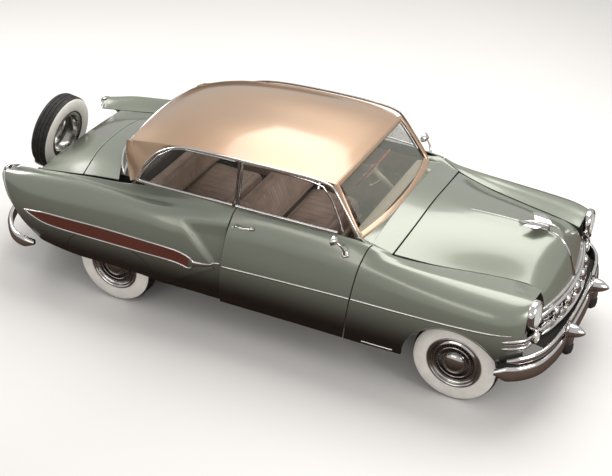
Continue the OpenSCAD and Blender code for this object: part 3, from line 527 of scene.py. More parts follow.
def quarter_point(s, t):
    x = mix(door_rear(t) - DOOR_GAP / 2, curve(TAIL, t)[0], s)
    p = side_point(x, t)
    return p + np.array([0, quarter_rise(x, p[2], t), 0])


quarter_grid = np.array([[quarter_point((i / 90) ** 1.15, t) for t in np.linspace(0, T_SILL, 61)]
                         for i in range(91)])


def door_point(s, t):
    return side_point(mix(door_rear(t) + DOOR_GAP / 2, door_front(t) - DOOR_GAP / 2, s), t)


door_grid = np.array([[door_point(i / 36, t) for t in np.linspace(0, T_SILL, 61)] for i in range(37)])


def on_side(x, z, out=0.0):
    """Point of the right side's mirror (y > 0) at x and z, moved out by out mm."""
    t = step_at(x, z)
    p = side_point(x, t)
    if x < -150:
        p = p + np.array([0, quarter_rise(x, z, t), 0])
    return p + np.array([0, out, 0])


def hood_row(s):
    q = s * (len(HOOD) - 1)
    c = curve(HOOD, q)
    x = min(c[5], 2200)
    edge = curve(SIDE, x)[0] - 8 - 11 * max(0, 1 - q / 1.5) + 0.9 * max(0, c[5] - 2230)
    return np.array([[-2, c[5], -edge, c[6]], [-1, c[2], -c[3], c[4]], [0, c[0], 0, c[1]],
                     [1, c[2], c[3], c[4]], [2, c[5], edge, c[6]]])


def ridge(w, s):
    """A soft raised spine along the hood's middle."""
    return 5.0 * math.exp(-(w / 0.16) ** 2) * ease(0.0, 0.3, s)


hood_grid = np.array([[curve(hood_row(i / 80), w) + np.array([0, 0, ridge(w, i / 80)])
                       for w in np.linspace(-2, 2, 81)] for i in range(81)])
COWL = [np.array([[-2, 982, -684, 1098], [-1, 988, -360, 1140], [0, 992, 0, 1160], [1, 988, 360, 1140],
                  [2, 982, 684, 1098]]),
        np.array([[-2, 1142, -678, 1050], [-1, 1180, -340, 1127], [0, 1185, 0, 1151], [1, 1180, 340, 1127],
                  [2, 1142, 678, 1050]])]
cowl_grid = np.array([[mix(curve(COWL[0], w), curve(COWL[1], w), i / 6) for w in np.linspace(-2, 2, 61)]
                      for i in range(7)])


def roof_row(x):
    c = curve(ROOF, x)
    return np.array([[-2, x, -c[3], c[4]], [-1, x, -c[1], c[2]], [0, x, 0, c[0]], [1, x, c[1], c[2]],
                     [2, x, c[3], c[4]]])


roof_grid = np.array([[curve(roof_row(x), w) for w in np.linspace(-2, 2, 65)]
                      for x in np.linspace(-1150, 655, 73)])


def deck_row(q):
    xc, zc, xe = curve(DECK, q)
    a = curve(SIDE, xe)
    zb = min(a[1], zc - 4)
    ye = a[0] - 12 - 26 * max(0, 1 - q / 4)
    return np.array([[-2, xe, -ye, zb], [-1, mix(xc, xe, 0.25), -ye / 2, mix(zc, zb, 0.2)], [0, xc, 0, zc],
                     [1, mix(xc, xe, 0.25), ye / 2, mix(zc, zb, 0.2)], [2, xe, ye, zb]])


def deck_grid(q0, q1, n):
    return np.array([[curve(deck_row(mix(q0, q1, i / n)), w) for w in np.linspace(-2, 2, 61)]
                     for i in range(n + 1)])


def fan(xc, xe, ye, zc, ze, n=32):
    return np.array([[mix(xc, xe, s * s), s * ye, mix(zc, ze, s * s)] for s in np.linspace(-1, 1, 2 * n + 1)])


# ---------------------------------------------------------------- body panels
SKIN = 9.0  # mm, the visible steel with its folded edge


def side_pair(kind, g, mat, slot, sign):
    for side, body_side in (("left", 1), ("right", -1)):
        shape = panel(g, SKIN, sign)
        if body_side < 0:
            shape.flipped()
        body = f"door_{side}" if kind == "door" else "body"
        yield side, body, make(f"{kind}_skin_{side}", shape, mat, body, [f"{kind}_{side}"], angle=35,
                               bevel=0.0025, slot=slot)


list(side_pair("front_fender", fender_grid, GREEN, "body_green", 1))
list(side_pair("rear_quarter", quarter_grid, GREEN, "body_green", -1))
list(side_pair("door", door_grid, GREEN, "body_green", 1))
make("hood_skin", panel(hood_grid, SKIN, 1), GREEN, "hood", ["hood"], angle=35, bevel=0.0025)
make("cowl_skin", panel(cowl_grid, SKIN, 1), GREEN, replaces=["cowl"], angle=35, bevel=0.002)
make("deck_skin", panel(deck_grid(0, 1.96, 14), SKIN, -1), GREEN, replaces=["rear_deck"], angle=35, bevel=0.002)
make("trunk_lid_skin", panel(deck_grid(2.04, 7, 70), SKIN, -1), GREEN, "trunk_lid", ["trunk_lid"], angle=35,
     bevel=0.0025)
make("roof_skin", panel(roof_grid, 14, 1), TAN, replaces=["roof"], angle=35, bevel=0.003)


# ---------------------------------------------------------------- windows and their bright frames
def ribbon(name, path, w, h, up=(0, 1, 0), n=60, body="body", pair=True):
    """A bright moulding along a smooth path (mm), on both sides of the car if pair."""
    s = sweep(smooth_path(path, n), round_profile(w, h, 10, 1.5), up)
    return make(name, s.both() if pair else s, CHROME, body, angle=35)


BELT_Y, BELT_Z, EAVE_Z, GLASS_LEAN = 722.0, 1142.0, 1458.0, 86.0


def glass_y(z):
    return BELT_Y - GLASS_LEAN * (z - BELT_Z) / (EAVE_Z - BELT_Z)


def side_glass(outline, bodies):
    """Crowned side glass inside an outline of x and z."""
    o = smooth_path(outline + outline[:1], 90)[:-1] if len(outline) > 8 else np.array(outline, float)
    for side, body in bodies:
        c = o.mean(0)
        rows = []
        for k in np.linspace(1, 0.02, 8):
            q = c + (o - c) * k
            y = np.array([glass_y(z) for z in q[:, 1]]) + 5 * (1 - k * k) - 5
            rows.append(np.column_stack([q[:, 0], y, q[:, 1]]))
        s = Shape()
        for off in (0, -5):
            pts = np.concatenate(rows) + np.array([0, off, 0])
            faces = grid_faces(8, len(o), 0, True) + [tuple(7 * len(o) + j for j in range(len(o)))]
            s.add(pts * MM, faces if off else [f[::-1] for f in faces])
        m = len(o)
        s.f += [(j, (j + 1) % m, 8 * m + (j + 1) % m, 8 * m + j) for j in range(m)]
        if side == "right":
            s.flipped()
        yield body, s


DOOR_GLASS = [(-86, 1147), (-86, 1300), (-86, 1450), (-60, 1457), (120, 1458), (300, 1457), (460, 1452), (560, 1438),
              (612, 1400), (660, 1340), (710, 1250), (755, 1160), (748, 1147), (500, 1147), (200, 1147)]
QUARTER_GLASS = [(-966, 1146), (-915, 1240), (-870, 1298), (-815, 1355), (-755, 1402), (-690, 1432), (-600, 1450),
                 (-500, 1456), (-300, 1457), (-160, 1457), (-142, 1450), (-142, 1300), (-142, 1146), (-400, 1145),
                 (-700, 1145)]


def dense(outline, n=10):
    p = np.array(outline + outline[:1], float)
    return np.concatenate([np.linspace(a, b, n, endpoint=False) for a, b in zip(p, p[1:])])


for side in ("left", "right"):
    for body, s in side_glass([tuple(q) for q in dense(DOOR_GLASS, 3)], [(side, f"door_{side}")]):
        make(f"door_window_{side}", s, GLASS, body, [f"door_glass_{side}"], angle=30)
q = Shape()
for _, s in side_glass([tuple(q) for q in dense(QUARTER_GLASS, 3)], [("left", "body")]):
    q.add(s.v, s.f)
make("quarter_windows_pair", q.both(), GLASS, replaces=["quarter_windows"], angle=30)


def pane(low, high, t, bulge):
    g = np.array([[mix(a, b, k) + bulge * math.sin(math.pi * k) * unit(np.array([a[0], 0, abs(a[0]) * 0.6]))
                   for k in np.linspace(0, 1, 14)] for a, b in zip(low, high)])
    return sheet_between(Shape(), g * MM, (g - np.array([t * np.sign(g[0, 0, 0]), 0, 0])) * MM)


sill, header = fan(935, 868, 600, 1150, 1150), fan(672, 662, 535, 1442, 1424)
make("windshield_glass", pane(sill, header, 6, 7), GLASS, replaces=["windshield"], angle=30)
rear_low, rear_high = fan(-1446, -1175, 618, 1096, 1096), fan(-1168, -1140, 500, 1401.7, 1359.7)
make("rear_window_glass", pane(rear_low, rear_high, 6, 6), GLASS, replaces=["rear_window"], angle=30)

# Champagne windshield surround and pillars
flat_bar = [(-24, -14), (-24, 2), (-20, 7), (-10, 9), (10, 9), (20, 7), (24, 2), (24, -14)]
surround = Shape()
low_curve = fan(962, 872, 664, 1128, 1112, 30)
sweep(low_curve, [(x * 1.15, y) for x, y in flat_bar], (0.62, 0, 1), surround)
a_path = smooth_path([(876, 660, 1110), (846, 664, 1152), (800, 655, 1226), (748, 640, 1312), (694, 622, 1398),
                      (648, 606, 1462)], 40)
pillar = Shape()
sweep(a_path, flat_bar, (0.62, 0.75, 0.3), pillar)
rear_pillar = smooth_path([(-1150, 560, 1372), (-1140, 590, 1320), (-1120, 622, 1250), (-1090, 655, 1165),
                           (-1064, 680, 1095)], 30)
sweep(rear_pillar, [(x * 1.9, y * 0.9) for x, y in flat_bar], (-0.45, 0.85, 0.3), pillar)
pillar.both()
surround.add(pillar.v, pillar.f)
head_curve = fan(668, 652, 612, 1468, 1448, 30)
sweep(head_curve, [(x * 0.8, y) for x, y in flat_bar], (1, 0, 0.7), surround)
make("windshield_surround", surround, TAN, bevel=0.0015)

# Bright mouldings round the windows
EAVE = [(872, 676, 1118), (820, 672, 1205), (760, 664, 1296), (705, 656, 1380), (650, 650, 1452), (600, 654, 1482),
        (500, 660, 1500), (300, 668, 1510), (0, 672, 1511), (-300, 668, 1505), (-500, 660, 1494), (-640, 650, 1472),
        (-740, 645, 1438), (-830, 652, 1388), (-905, 664, 1320), (-960, 680, 1240), (-1000, 700, 1140)]
ribbon("drip_rails", EAVE, 17, 13, (0.05, 1, 0.15), 140)
for side, sgn in (("left", 1), ("right", -1)):
    ribbon(f"belt_moulding_{side}", [(-100, sgn * 764, 1163), (200, sgn * 765, 1164), (500, sgn * 762, 1162),
                                     (735, sgn * 748, 1154)], 26, 14, (0, sgn * 0.75, 0.65), 40, f"door_{side}", False)
ribbon("quarter_belt_mouldings", [(-128, 764, 1163), (-400, 762, 1160), (-700, 752, 1152), (-930, 728, 1138),
                                  (-1010, 706, 1130)], 26, 14, (0, 0.75, 0.65), 50)
strip = [(-9, -4), (-9, 4), (-6, 8), (6, 8), (9, 4), (9, -4)]
b_posts = Shape()
sweep([(-126, 726, 1150), (-126, 690, 1290), (-126, 650, 1448), (-126, 644, 1492)], strip, (0, 1, 0.25), b_posts)
make("quarter_window_posts", b_posts.both(), CHROME)
for side, sgn in (("left", 1), ("right", -1)):
    s = sweep([(-98, 728, 1154), (-98, 692, 1292), (-98, 652, 1450), (-98, 646, 1472)], strip, (0, 1, 0.25))
    s = sweep([(-98, 648, 1466), (120, 648, 1472), (300, 648, 1471), (470, 650, 1463), (565, 652, 1446),
               (640, 664, 1368), (712, 690, 1250), (762, 716, 1150)], [(a * 0.7, b * 0.8) for a, b in strip],
              (0, 1, 0.2), s)
    if sgn < 0:
        s.flipped()
    make(f"door_window_frame_{side}", s, CHROME, f"door_{side}")
q_frame = dense([(-985, 1146), (-930, 1245), (-825, 1368), (-700, 1446), (-600, 1464), (-300, 1470), (-142, 1470)], 8)
q_frame = np.array([[x, glass_y(z) + 12, z] for x, z in q_frame[:-8]])
ribbon("quarter_window_frames", q_frame, 12, 8, (0, 1, 0.2), 80)

# Rear window surround and the band up the rear pillar
s = sweep(rear_low + np.array([-8, 0, 2]), round_profile(22, 13, 10, 2), (-0.6, 0, 1))
sweep(rear_high + np.array([-12, 0, 4]), round_profile(20, 12, 10, 2), (-0.8, 0, 0.7), s)
post = sweep(smooth_path([(-1178, 628, 1096), (-1166, 600, 1170), (-1154, 558, 1270), (-1148, 508, 1362)], 30),
             round_profile(22, 12, 10, 2), (-0.8, 0.5, 0.3)).both()
s.add(post.v, post.f)
make("rear_window_surround", s, CHROME)
sill_trim = sweep(fan(978, 884, 690, 1112, 1096, 40), round_profile(12, 8, 8, 2), (0.5, 0, 1))
make("windshield_lower_moulding", sill_trim, CHROME)

# Champagne quarter panels between the quarter windows and the rear posts
low = smooth_path([(x - 8, glass_y(z) + d, z + 4) for x, z, d in
                   ((-1000, 1140, -6), (-968, 1190, -4), (-936, 1250, -4), (-885, 1312, -4), (-826, 1376, -4),
                    (-760, 1424, -4), (-690, 1456, -2), (-560, 1474, 0))], 60)
edge = [(x, curve(ROOF, x)[3] + 3, curve(ROOF, x)[4] + 2) for x in (-1140, -1040, -940, -840, -740, -560)]
high = smooth_path([(-1068, 690, 1096), (-1092, 664, 1165), (-1122, 634, 1250), (-1146, 596, 1330)] + edge, 60)
g = np.array([[mix(a, b, k) + np.array([0, 5, 0]) * math.sin(math.pi * k) for k in np.linspace(0, 1, 12)]
              for a, b in zip(low, high)])
sail = sheet_between(Shape(), g * MM, (g - [0, 8, 0]) * MM).both()
make("quarter_sail_panels", sail, TAN, angle=45)

# Cowl corners beside the windshield
n = 24
in_line = smooth_path([(862, 652, 1106), (905, 668, 1108)] + [tuple(p) for p in cowl_grid[:, -1]], n)
out_line = []
for x, y, z in in_line:
    top = side_point(max(x, 952), 0.0)
    k = ease(890, 955, x)
    out_line.append([x, mix(min(700, top[1] - 6), top[1] - 3, k), mix(1122, top[2] - 3, k)])
g = np.array([[mix(a, np.array(b), k) + np.array([0, 0, 5 * math.sin(math.pi * k)]) for k in np.linspace(0, 1, 10)]
              for a, b in zip(in_line, out_line)])
corner = sheet_between(Shape(), g * MM, (g - [0, 0, 6]) * MM).both()
make("cowl_corners", corner, GREEN, angle=45)
g = np.array([[mix(a - np.array([14, 0, 12]), b, k) for k in np.linspace(0, 1, 6)]
              for a, b in zip(low_curve, smooth_path([tuple(p) for p in cowl_grid[0]], len(low_curve)))])
apron = sheet_between(Shape(), g * MM, (g - [0, 0, 5]) * MM)
make("cowl_apron", apron, GREEN, angle=45)


# ---------------------------------------------------------------- wheels
def tyre_mesh(at, axis):
    seg = 144
    half = [(332, 4), (332, 30), (327, 32), (327, 36), (332, 38), (331, 50), (326, 62), (316, 72), (298, 80),
            (268, 85), (236, 82.5), (214, 77), (203, 69)]
    rows = [(r, -h) for r, h in reversed(half)] + [(327, -2), (327, 2)] + half
    rows += [(206, 60), (206, -60)]
    f = frame_of(axis)
    a = np.arange(seg) * 2 * math.pi / seg
    wave = 3.0 * np.abs((a / math.pi * 36) % 2 - 1) - 1.5
    pts = []
    for r, h in rows:
        zig = wave if r > 325 and abs(h) < 45 else 0 * a
        lug = np.where((np.arange(seg) % 4 == 0) & (abs(h) > 49) & (r > 320), -3.0, 0.0)
        pts.append(np.stack([np.cos(a) * (r + lug), np.sin(a) * (r + lug), h + zig], 1) @ f + np.asarray(at))
    pts = np.array(pts)
    faces = grid_faces(len(rows), seg, 0, True)
    faces += [((len(rows) - 1) * seg + j, j, (j + 1) % seg, (len(rows) - 1) * seg + (j + 1) % seg)
              for j in range(seg)]
    return Shape().add(pts.reshape(-1, 3) * MM, faces)


WALL = [(214, 76), (216, 80), (226, 83), (242, 86), (268, 88.2), (292, 84.6), (308, 79.4), (318, 73.6), (320, 70),
        (300, 76), (268, 82), (240, 80), (220, 76)]
CAP = [(213, 66), (214, 74), (211, 81), (205, 84), (198, 81), (190, 70), (182, 60), (176, 57), (170, 61), (164, 67),
       (158, 68), (154, 65), (150, 64.5)]
CENTRE = [(96, 66), (98, 71), (95, 75), (90, 75), (86, 71), (84, 71), (80, 78), (70, 88), (55, 96), (38, 101),
          (18, 104), (0, 104.5)]
FLOOR = [(153, 67), (140, 65), (120, 64), (97, 67)]


def ring_seat(profile, at, axis, seg=96, shape=None):
    """Closed ring: a profile that returns to its start."""
    f = frame_of(axis)
    a = np.arange(seg) * 2 * math.pi / seg
    pts = np.array([np.stack([np.cos(a) * r, np.sin(a) * r, 0 * a + h], 1) @ f + np.asarray(at)
                    for r, h in profile])
    n = len(profile)
    faces = grid_faces(n, seg, 0, True)
    faces += [((n - 1) * seg + j, j, (j + 1) % seg, (n - 1) * seg + (j + 1) % seg) for j in range(seg)]
    return (shape or Shape()).add(pts.reshape(-1, 3) * MM, faces)


def fins(at, axis):
    count = 40
    f = frame_of(axis)
    s = Shape()
    for k in range(count):
        c, n = math.cos(2 * math.pi * k / count), math.sin(2 * math.pi * k / count)
        radial, side = np.array([c, n, 0]), np.array([-n, c, 0])
        pts = []
        for r, h, w in ((100, 65, 2.2), (100, 73, 1.2), (126, 72, 1.6), (150, 70, 2.0), (150, 64, 3.0)):
            for sg in (-1, 1):
                pts.append((radial * r + side * sg * w + np.array([0, 0, h])) @ f + np.asarray(at))
        s.add(np.array(pts) * MM, [(0, 2, 4, 6, 8), (1, 9, 7, 5, 3), (0, 1, 3, 2), (2, 3, 5, 4), (4, 5, 7, 6),
                                   (6, 7, 9, 8), (8, 9, 1, 0)])
    return s


def wheel(name, at, axis, body, tyre_node, cap=True, white_inside=False):
    axis = np.asarray(axis, float)
    make(f"{name}_tyre", tyre_mesh(at, axis), RUBBER, body, [tyre_node], angle=30)
    wall = ring_seat(WALL, at, axis)
    if white_inside:
        wall.add(*(lambda w: (w.v, w.f))(ring_seat(WALL, at, -axis)))
    make(f"{name}_whitewall", wall, WHITE, body)
    if cap:
        c = lathe(CAP, at, axis, 96)
        lathe(CENTRE, at, axis, 72, c)
        ring_seat([(124, 70), (128, 72.5), (132, 70), (128, 68)], at, axis, 96, c)
        make(f"{name}_hubcap", c, WHEEL_CHROME, body, angle=50)
        make(f"{name}_hubcap_recess", lathe(FLOOR, at, axis, 72), DARK_CHROME, body, angle=50)
        make(f"{name}_hubcap_fins", fins(at, axis), WHEEL_CHROME, body, angle=30)


for side, sgn in (("left", 1), ("right", -1)):
    wheel(f"front_{side}", (AXLE_X, sgn * 720, WHEEL_Z), (0, sgn, 0), f"wheel_front_{side}", f"tyre_front_{side}")
    wheel(f"rear_{side}", (REAR_AXLE_X, sgn * 746, WHEEL_Z), (0, sgn, 0), f"wheel_rear_{side}", f"tyre_rear_{side}")
LEAN = math.radians(9.5)
spare_axis = (-math.cos(LEAN), 0, math.sin(LEAN))
SPARE = np.array([-2252.0, 0, 928])
wheel("spare", SPARE, spare_axis, "spare", "spare_tyre", True, True)


def sector(profile, at, axis, a0, a1, seg=48):
    """Open-ended shell about axis between two angles, its ends closed."""
    f = frame_of(axis)
    a = np.radians(np.linspace(a0, a1, seg))
    k = len(profile)
    pts = np.array([[np.array([math.cos(x) * r, math.sin(x) * r, h]) @ f + np.asarray(at) for r, h in profile]
                    for x in a])
    faces = grid_faces(seg, k, 0, True) + [tuple(range(k)), tuple((seg - 1) * k + j for j in reversed(range(k)))]
    return Shape().add(pts.reshape(-1, 3) * MM, [q[::-1] for q in faces])


down = frame_of(spare_axis) @ np.array([0, 0, -1.0])
down_angle = math.degrees(math.atan2(down[1], down[0]))
cradle = [(296, -92), (318, -90), (334, -80), (341, -60), (341, 60), (334, 80), (318, 90), (296, 92), (296, 88),
          (316, 86), (330, 77), (336.5, 59), (336.5, -59), (330, -77), (316, -86), (296, -88)]
make("spare_cradle", sector(cradle, SPARE, spare_axis, down_angle - 46, down_angle + 46), TAN, "spare",
     angle=45, bevel=0.001)
make("spare_cradle_edges", Shape().add(*(lambda q: (q.v, q.f))(
    sector([(r * 1.004, h * 1.01) for r, h in cradle], SPARE, spare_axis, down_angle - 48, down_angle - 45.4, 4)))
    .add(*(lambda q: (q.v, q.f))(
        sector([(r * 1.004, h * 1.01) for r, h in cradle], SPARE, spare_axis, down_angle + 45.4, down_angle + 48, 4))),
     CHROME, "spare", angle=45)


# ---------------------------------------------------------------- side trim
def side_path(points, out, n):
    """Curve through x, z points laid on the body side, out mm proud of it."""
    p = smooth_path(points, n)
    return np.array([on_side(x, z, out) for x, z in p])


def side_up(path):
    """Outward direction of the body side along a path on it."""
    ups = []
    for x, y, z in path:
        a, b = on_side(x, z + 8), on_side(x, z - 8)
        c, d = on_side(x + 8, z), on_side(x - 8, z)
        ups.append(np.cross(c - d, a - b))
    ups = unit(np.array(ups))
    return ups * np.sign(ups[:, 1:2])


def side_trim(name, points, w, h, bodies, n=60, scale=None):
    path = side_path(points, 0, n)
    ups = side_up(path)
    for side, body in bodies:
        s = sweep(path, round_profile(w, h, 10, 1.5), ups, scale=scale)
        if side == "right":
            s.flipped()
        make(f"{name}_{side}", s, CHROME, body, angle=35)


BODY2 = [("left", "body"), ("right", "body")]
DOOR2 = [("left", "door_left"), ("right", "door_right")]


def strip_z(x):
    return 698 + (x + 231) * (771 - 698) / (2138 + 231)


side_trim("spear_strip_rear", [(x, strip_z(x)) for x in (-232, -205, -176)], 18, 9, BODY2, 16)
side_trim("spear_strip_door", [(x, strip_z(x)) for x in (-160, 200, 560, 915)], 18, 9, DOOR2, 60)
side_trim("spear_strip_front", [(x, strip_z(x)) for x in (930, 1300, 1700, 2000, 2140)], 18, 9, BODY2, 70,
          scale=np.r_[np.ones(62), np.linspace(1, 0.3, 8)])

# Painted spear on the rear fender with its bright border
TOP_EDGE = [(-1990, 700), (-1860, 722), (-1740, 738), (-1400, 752), (-1127, 755), (-850, 750), (-597, 742),
            (-500, 730), (-430, 706)]
LOW_EDGE = [(-1990, 700), (-1900, 664), (-1750, 633), (-1400, 634), (-1137, 635), (-850, 635), (-603, 634),
            (-500, 622), (-438, 606)]
top_p, low_p = smooth_path(TOP_EDGE, 90), smooth_path(LOW_EDGE, 90)
for side in ("left", "right"):
    rows = []
    for a, b in zip(top_p, low_p):
        rows.append([on_side(*mix(a, b, k), 2.5) for k in np.linspace(0.02, 0.98, 12)])
    g = np.array(rows)
    s = sheet_between(Shape(), g * MM, (g - np.array([0, 4, 0])) * MM)
    if side == "right":
        s.flipped()
    make(f"spear_insert_{side}", s, RED_INSERT, angle=30)
loop = TOP_EDGE + [(-392, 668), (-398, 628)] + LOW_EDGE[::-1]
side_trim("spear_border", loop, 17, 10, BODY2, 300)
side_trim("spear_nose", [(-400, 660), (-360, 664), (-300, 672), (-250, 684), (-225, 697)], 50, 12, BODY2, 40,
          scale=np.linspace(1.0, 0.36, 40))
# Leading edge of the raised rear fender: a soft bright bead low on it
side_trim("quarter_gravel_guard", [(-222, 640), (-228, 690)], 14, 6, BODY2, 12)
# Rocker and skirt mouldings
side_trim("rocker_front", [(1010, 352), (1120, 352), (1260, 356)], 22, 8, BODY2, 20)


def skirt_seam():
    """Thin dark line of the skirt's joint on the rear fender."""
    pts = [(-1600, 400), (-1590, 470), (-1545, 560), (-1460, 625), (-1309, 655), (-1150, 660), (-1000, 640),
           (-912, 607), (-831, 545), (-790, 470), (-775, 400)]
    path = side_path(pts, -1.2, 140)
    for side in ("left", "right"):
        s = sweep(path, [(-2.2, 0), (-2.2, 2.2), (2.2, 2.2), (2.2, 0)], side_up(path))
        if side == "right":
            s.flipped()
        make(f"skirt_seam_{side}", s, DARK, angle=30)


skirt_seam()

# Wheel opening lips on the front fenders
lip_a = np.radians(np.linspace(4, 176, 90))
lip_path = np.array([on_side(AXLE_X + (ARCH_R + 2) * math.cos(a), WHEEL_Z + (ARCH_R + 2) * math.sin(a), -3)
                     for a in lip_a])
lip = sweep(lip_path, round_profile(16, 9, 8, 2), side_up(lip_path)).both()
make("wheel_opening_lips", lip, GREEN, angle=35)

# Door handles, with push button, and key locks
for side, sgn in (("left", 1), ("right", -1)):
    grip = smooth_path([(64, 832, 1054), (60, 862, 1060), (30, 884, 1064), (-10, 888, 1066), (-42, 872, 1062),
                        (-58, 840, 1052)], 40)
    s = sweep(grip, circle(8.5, 14, 6.5), (0, 0.3, 1), scale=np.r_[np.linspace(1.5, 1, 6), np.ones(28),
                                                                   np.linspace(1, 1.5, 6)])
    lathe([(0, 22), (9, 21), (12, 17), (13, 0), (16, -2)], (74, 842, 1050), (0, 0.9, 0.45), 28, s)
    lathe([(0, 5), (8, 5), (10, 2), (10, -3)], (-84, 846, 1030), (0, 0.9, 0.4), 24, s)
    if sgn < 0:
        s.flipped()
    make(f"door_handle_{side}", s, CHROME, f"door_{side}", angle=50)
    m = lathe([(0, 6), (30, 5), (44, 1), (48, -4), (48, -8), (44, -16), (34, -30), (18, -42), (0, -47)],
              (752, 884, 1172), (-1, 0.12, 0.05), 48, squash=(1, 0.82))
    stalk = smooth_path([(835, 842, 1050), (834, 852, 1085), (818, 868, 1125), (790, 882, 1158)], 24)
    sweep(stalk, circle(7.5, 12), (1, 0, 0), m, scale=np.linspace(1.5, 0.85, 24))
    lathe([(0, 6), (16, 5), (24, 1), (26, -4)], (836, 836, 1048), (0, 0.6, 0.8), 32, m)
    if sgn < 0:
        m.flipped()
    make(f"door_mirror_{side}", m, CHROME, f"door_{side}", angle=50)
    g = lathe([(0, 7.4), (30, 6.6), (42, 3.6)], (752, 884, 1172), (-1, 0.12, 0.05), 48, squash=(1, 0.82))
    if sgn < 0:
        g.flipped()
    make(f"door_mirror_glass_{side}", g, MIRROR, f"door_{side}", angle=50)


# ---------------------------------------------------------------- front end
def front_x(y):
    return FENDER_NOSE + 0.0003 * (360000 - y * y)


def front_bar(name, z, half, w, d, proud, ends=0.35, replaces=()):
    ys = np.linspace(-half, half, 60)
    path = np.array([[front_x(y) + proud, y, z] for y in ys])
    taper = np.minimum(1, ends + (half - np.abs(ys)) / 60)
    s = sweep(path, [(a, b - d / 2) for a, b in round_profile(w, d, 12, 2)], (1, 0, 0), scale=taper)
    return make(name, s, CHROME, replaces=replaces)


front_bar("grille_top_bar", 760, 600, 36, 30, 20, replaces=("grille",))
front_bar("grille_bottom_bar", 652, 600, 40, 34, 22)
front_bar("grille_middle_bar", 704, 570, 22, 18, 6)
ys = np.linspace(-585, 585, 61)
lip_line = np.array([[front_x(y) + 4 - 14 * (abs(y) / 585) ** 2, y, 797 - 4 * (abs(y) / 585) ** 2] for y in ys])
make("grille_header", sweep(lip_line, round_profile(30, 20, 12, 6), (1, 0, 0.7)), CHROME)
back_plate = np.array([[[front_x(y) - 46, y, z] for z in (600, 640, 700, 760, 790)] for y in ys])
make("grille_shadow_plate", sheet_between(Shape(), back_plate * MM, (back_plate - [4, 0, 0]) * MM), DARK)
teeth = Shape()
for y in (-380, -190, 0, 190, 380):
    x = front_x(y)
    path = [(x + 8, y, 646), (x + 26, y, 668), (x + 38, y, 700), (x + 34, y, 736), (x + 18, y, 766)]
    p = smooth_path(path, 24)
    sweep(p, circle(34, 18, 22), (1, 0, 0.05), teeth,
          scale=0.55 + 0.75 * np.sin(np.linspace(0.2, math.pi - 0.3, 24)))
for y in (-475, -285, -95, 95, 285, 475):
    x = front_x(y)
    for sg in (-1, 1):
        wing = smooth_path([(x + 6, y - 62 * sg, 704 + 26), (x + 20, y - 20 * sg, 704 + 8), (x + 24, y, 704),
                            (x + 18, y + 24 * sg, 704 - 12), (x + 4, y + 62 * sg, 704 - 28)], 20)
        sweep(wing, circle(15, 12, 10), (1, 0, 0), teeth,
              scale=0.4 + 0.9 * np.sin(np.linspace(0.15, math.pi - 0.15, 20)))
make("grille_teeth", teeth, CHROME, angle=50)

# Pan between the grille and the bumper, with a bright lower bar; the pan is real, its near-black colour is painted
# shade under the grille
pan = []
for y in np.linspace(-640, 640, 61):
    b = np.interp(abs(y), [0, 200, 420, 600, 730], [2376, 2373, 2360, 2336, 2292])
    pan.append([[mix(front_x(y) - 20, b, k), y, mix(634, 574, k) - 16 * math.sin(math.pi * k)]
                for k in np.linspace(0, 1, 10)])
pan = np.array(pan)
make("gravel_pan", sheet_between(Shape(), pan * MM, (pan - [0, 0, 3]) * MM), DARK, angle=45)
front_bar("grille_lower_bar", 622, 560, 26, 30, 44, ends=0.2)

parking, lens = Shape(), Shape()
lathe([(0, 6), (40, 5), (52, 10), (58, 24), (56, 40), (48, 48), (43, 44), (41, 34), (0, 30)],
      (2220, 652, 664), (1, 0.18, 0), 48, parking, (1, 1.0))
lathe([(0, 58), (16, 56), (30, 50), (40, 40), (42, 32)], (2220, 652, 664), (1, 0.18, 0), 40, lens)
make("parking_lamp_rims", parking.both(), CHROME, angle=45)
make("parking_lamp_lenses", lens.both(), LENS, angle=45)

rim, bowl, glass_front = Shape(), Shape(), Shape()
LAMP = (2216, 690, 868)
lathe([(100, -6), (106, 0), (110, 14), (108, 30), (102, 42), (94, 48), (87, 47), (83, 40), (84, 30), (92, 16),
       (94, -6), (100, -6)], LAMP, (1, 0.05, 0.02), 64, rim)
ring_seat([(82, 38), (86, 42), (82, 46), (78, 42)], LAMP, (1, 0.05, 0.02), 64, rim)
lathe([(84, 34), (70, 18), (50, 6), (28, -2), (10, -5), (0, -5)], LAMP, (1, 0.05, 0.02), 64, bowl)
lathe([(83, 40), (72, 47), (56, 53), (34, 57.5), (14, 59), (0, 59.5)], LAMP, (1, 0.05, 0.02), 64, glass_front)
make("headlamp_rims", rim.both(), CHROME, replaces=["headlamps"], angle=45)
make("headlamp_reflectors", bowl.both(), MIRROR, angle=60)
make("headlamp_lenses", glass_front.both(), LAMP_GLASS, angle=60)

# Bright wings that wrap from the grille onto the fender sides
for i, (z0, w) in enumerate(((716, 40), (660, 30))):
    for side in ("left", "right"):
        p = np.array([on_side(x, z0 - 4 * (2212 - x) / 130, -1) for x in np.linspace(2078, 2196, 26)])
        p = np.vstack([p, [[2214, p[-1, 1] - 14, z0], [2232, p[-1, 1] - 44, z0 - 1], [2244, p[-1, 1] - 84, z0 - 2]]])
        ups = np.vstack([side_up(p[:26]), [[0.55, 0.83, 0], [0.8, 0.6, 0], [0.96, 0.28, 0]]])
        s = sweep(p, round_profile(w, 15, 12, 2), ups, scale=np.r_[np.linspace(0.15, 1, 9), np.ones(20)])
        if side == "right":
            s.flipped()
        make(f"grille_wing_{i}_{side}", s, CHROME, angle=45)

# Hood front: lip, centre spine and the flying ornament
hood_front = hood_grid[-1] + np.array([4, 0, 2])
make("hood_lip", sweep(hood_front, round_profile(20, 12, 10, 2), (1, 0, 0.2)), CHROME, "hood")


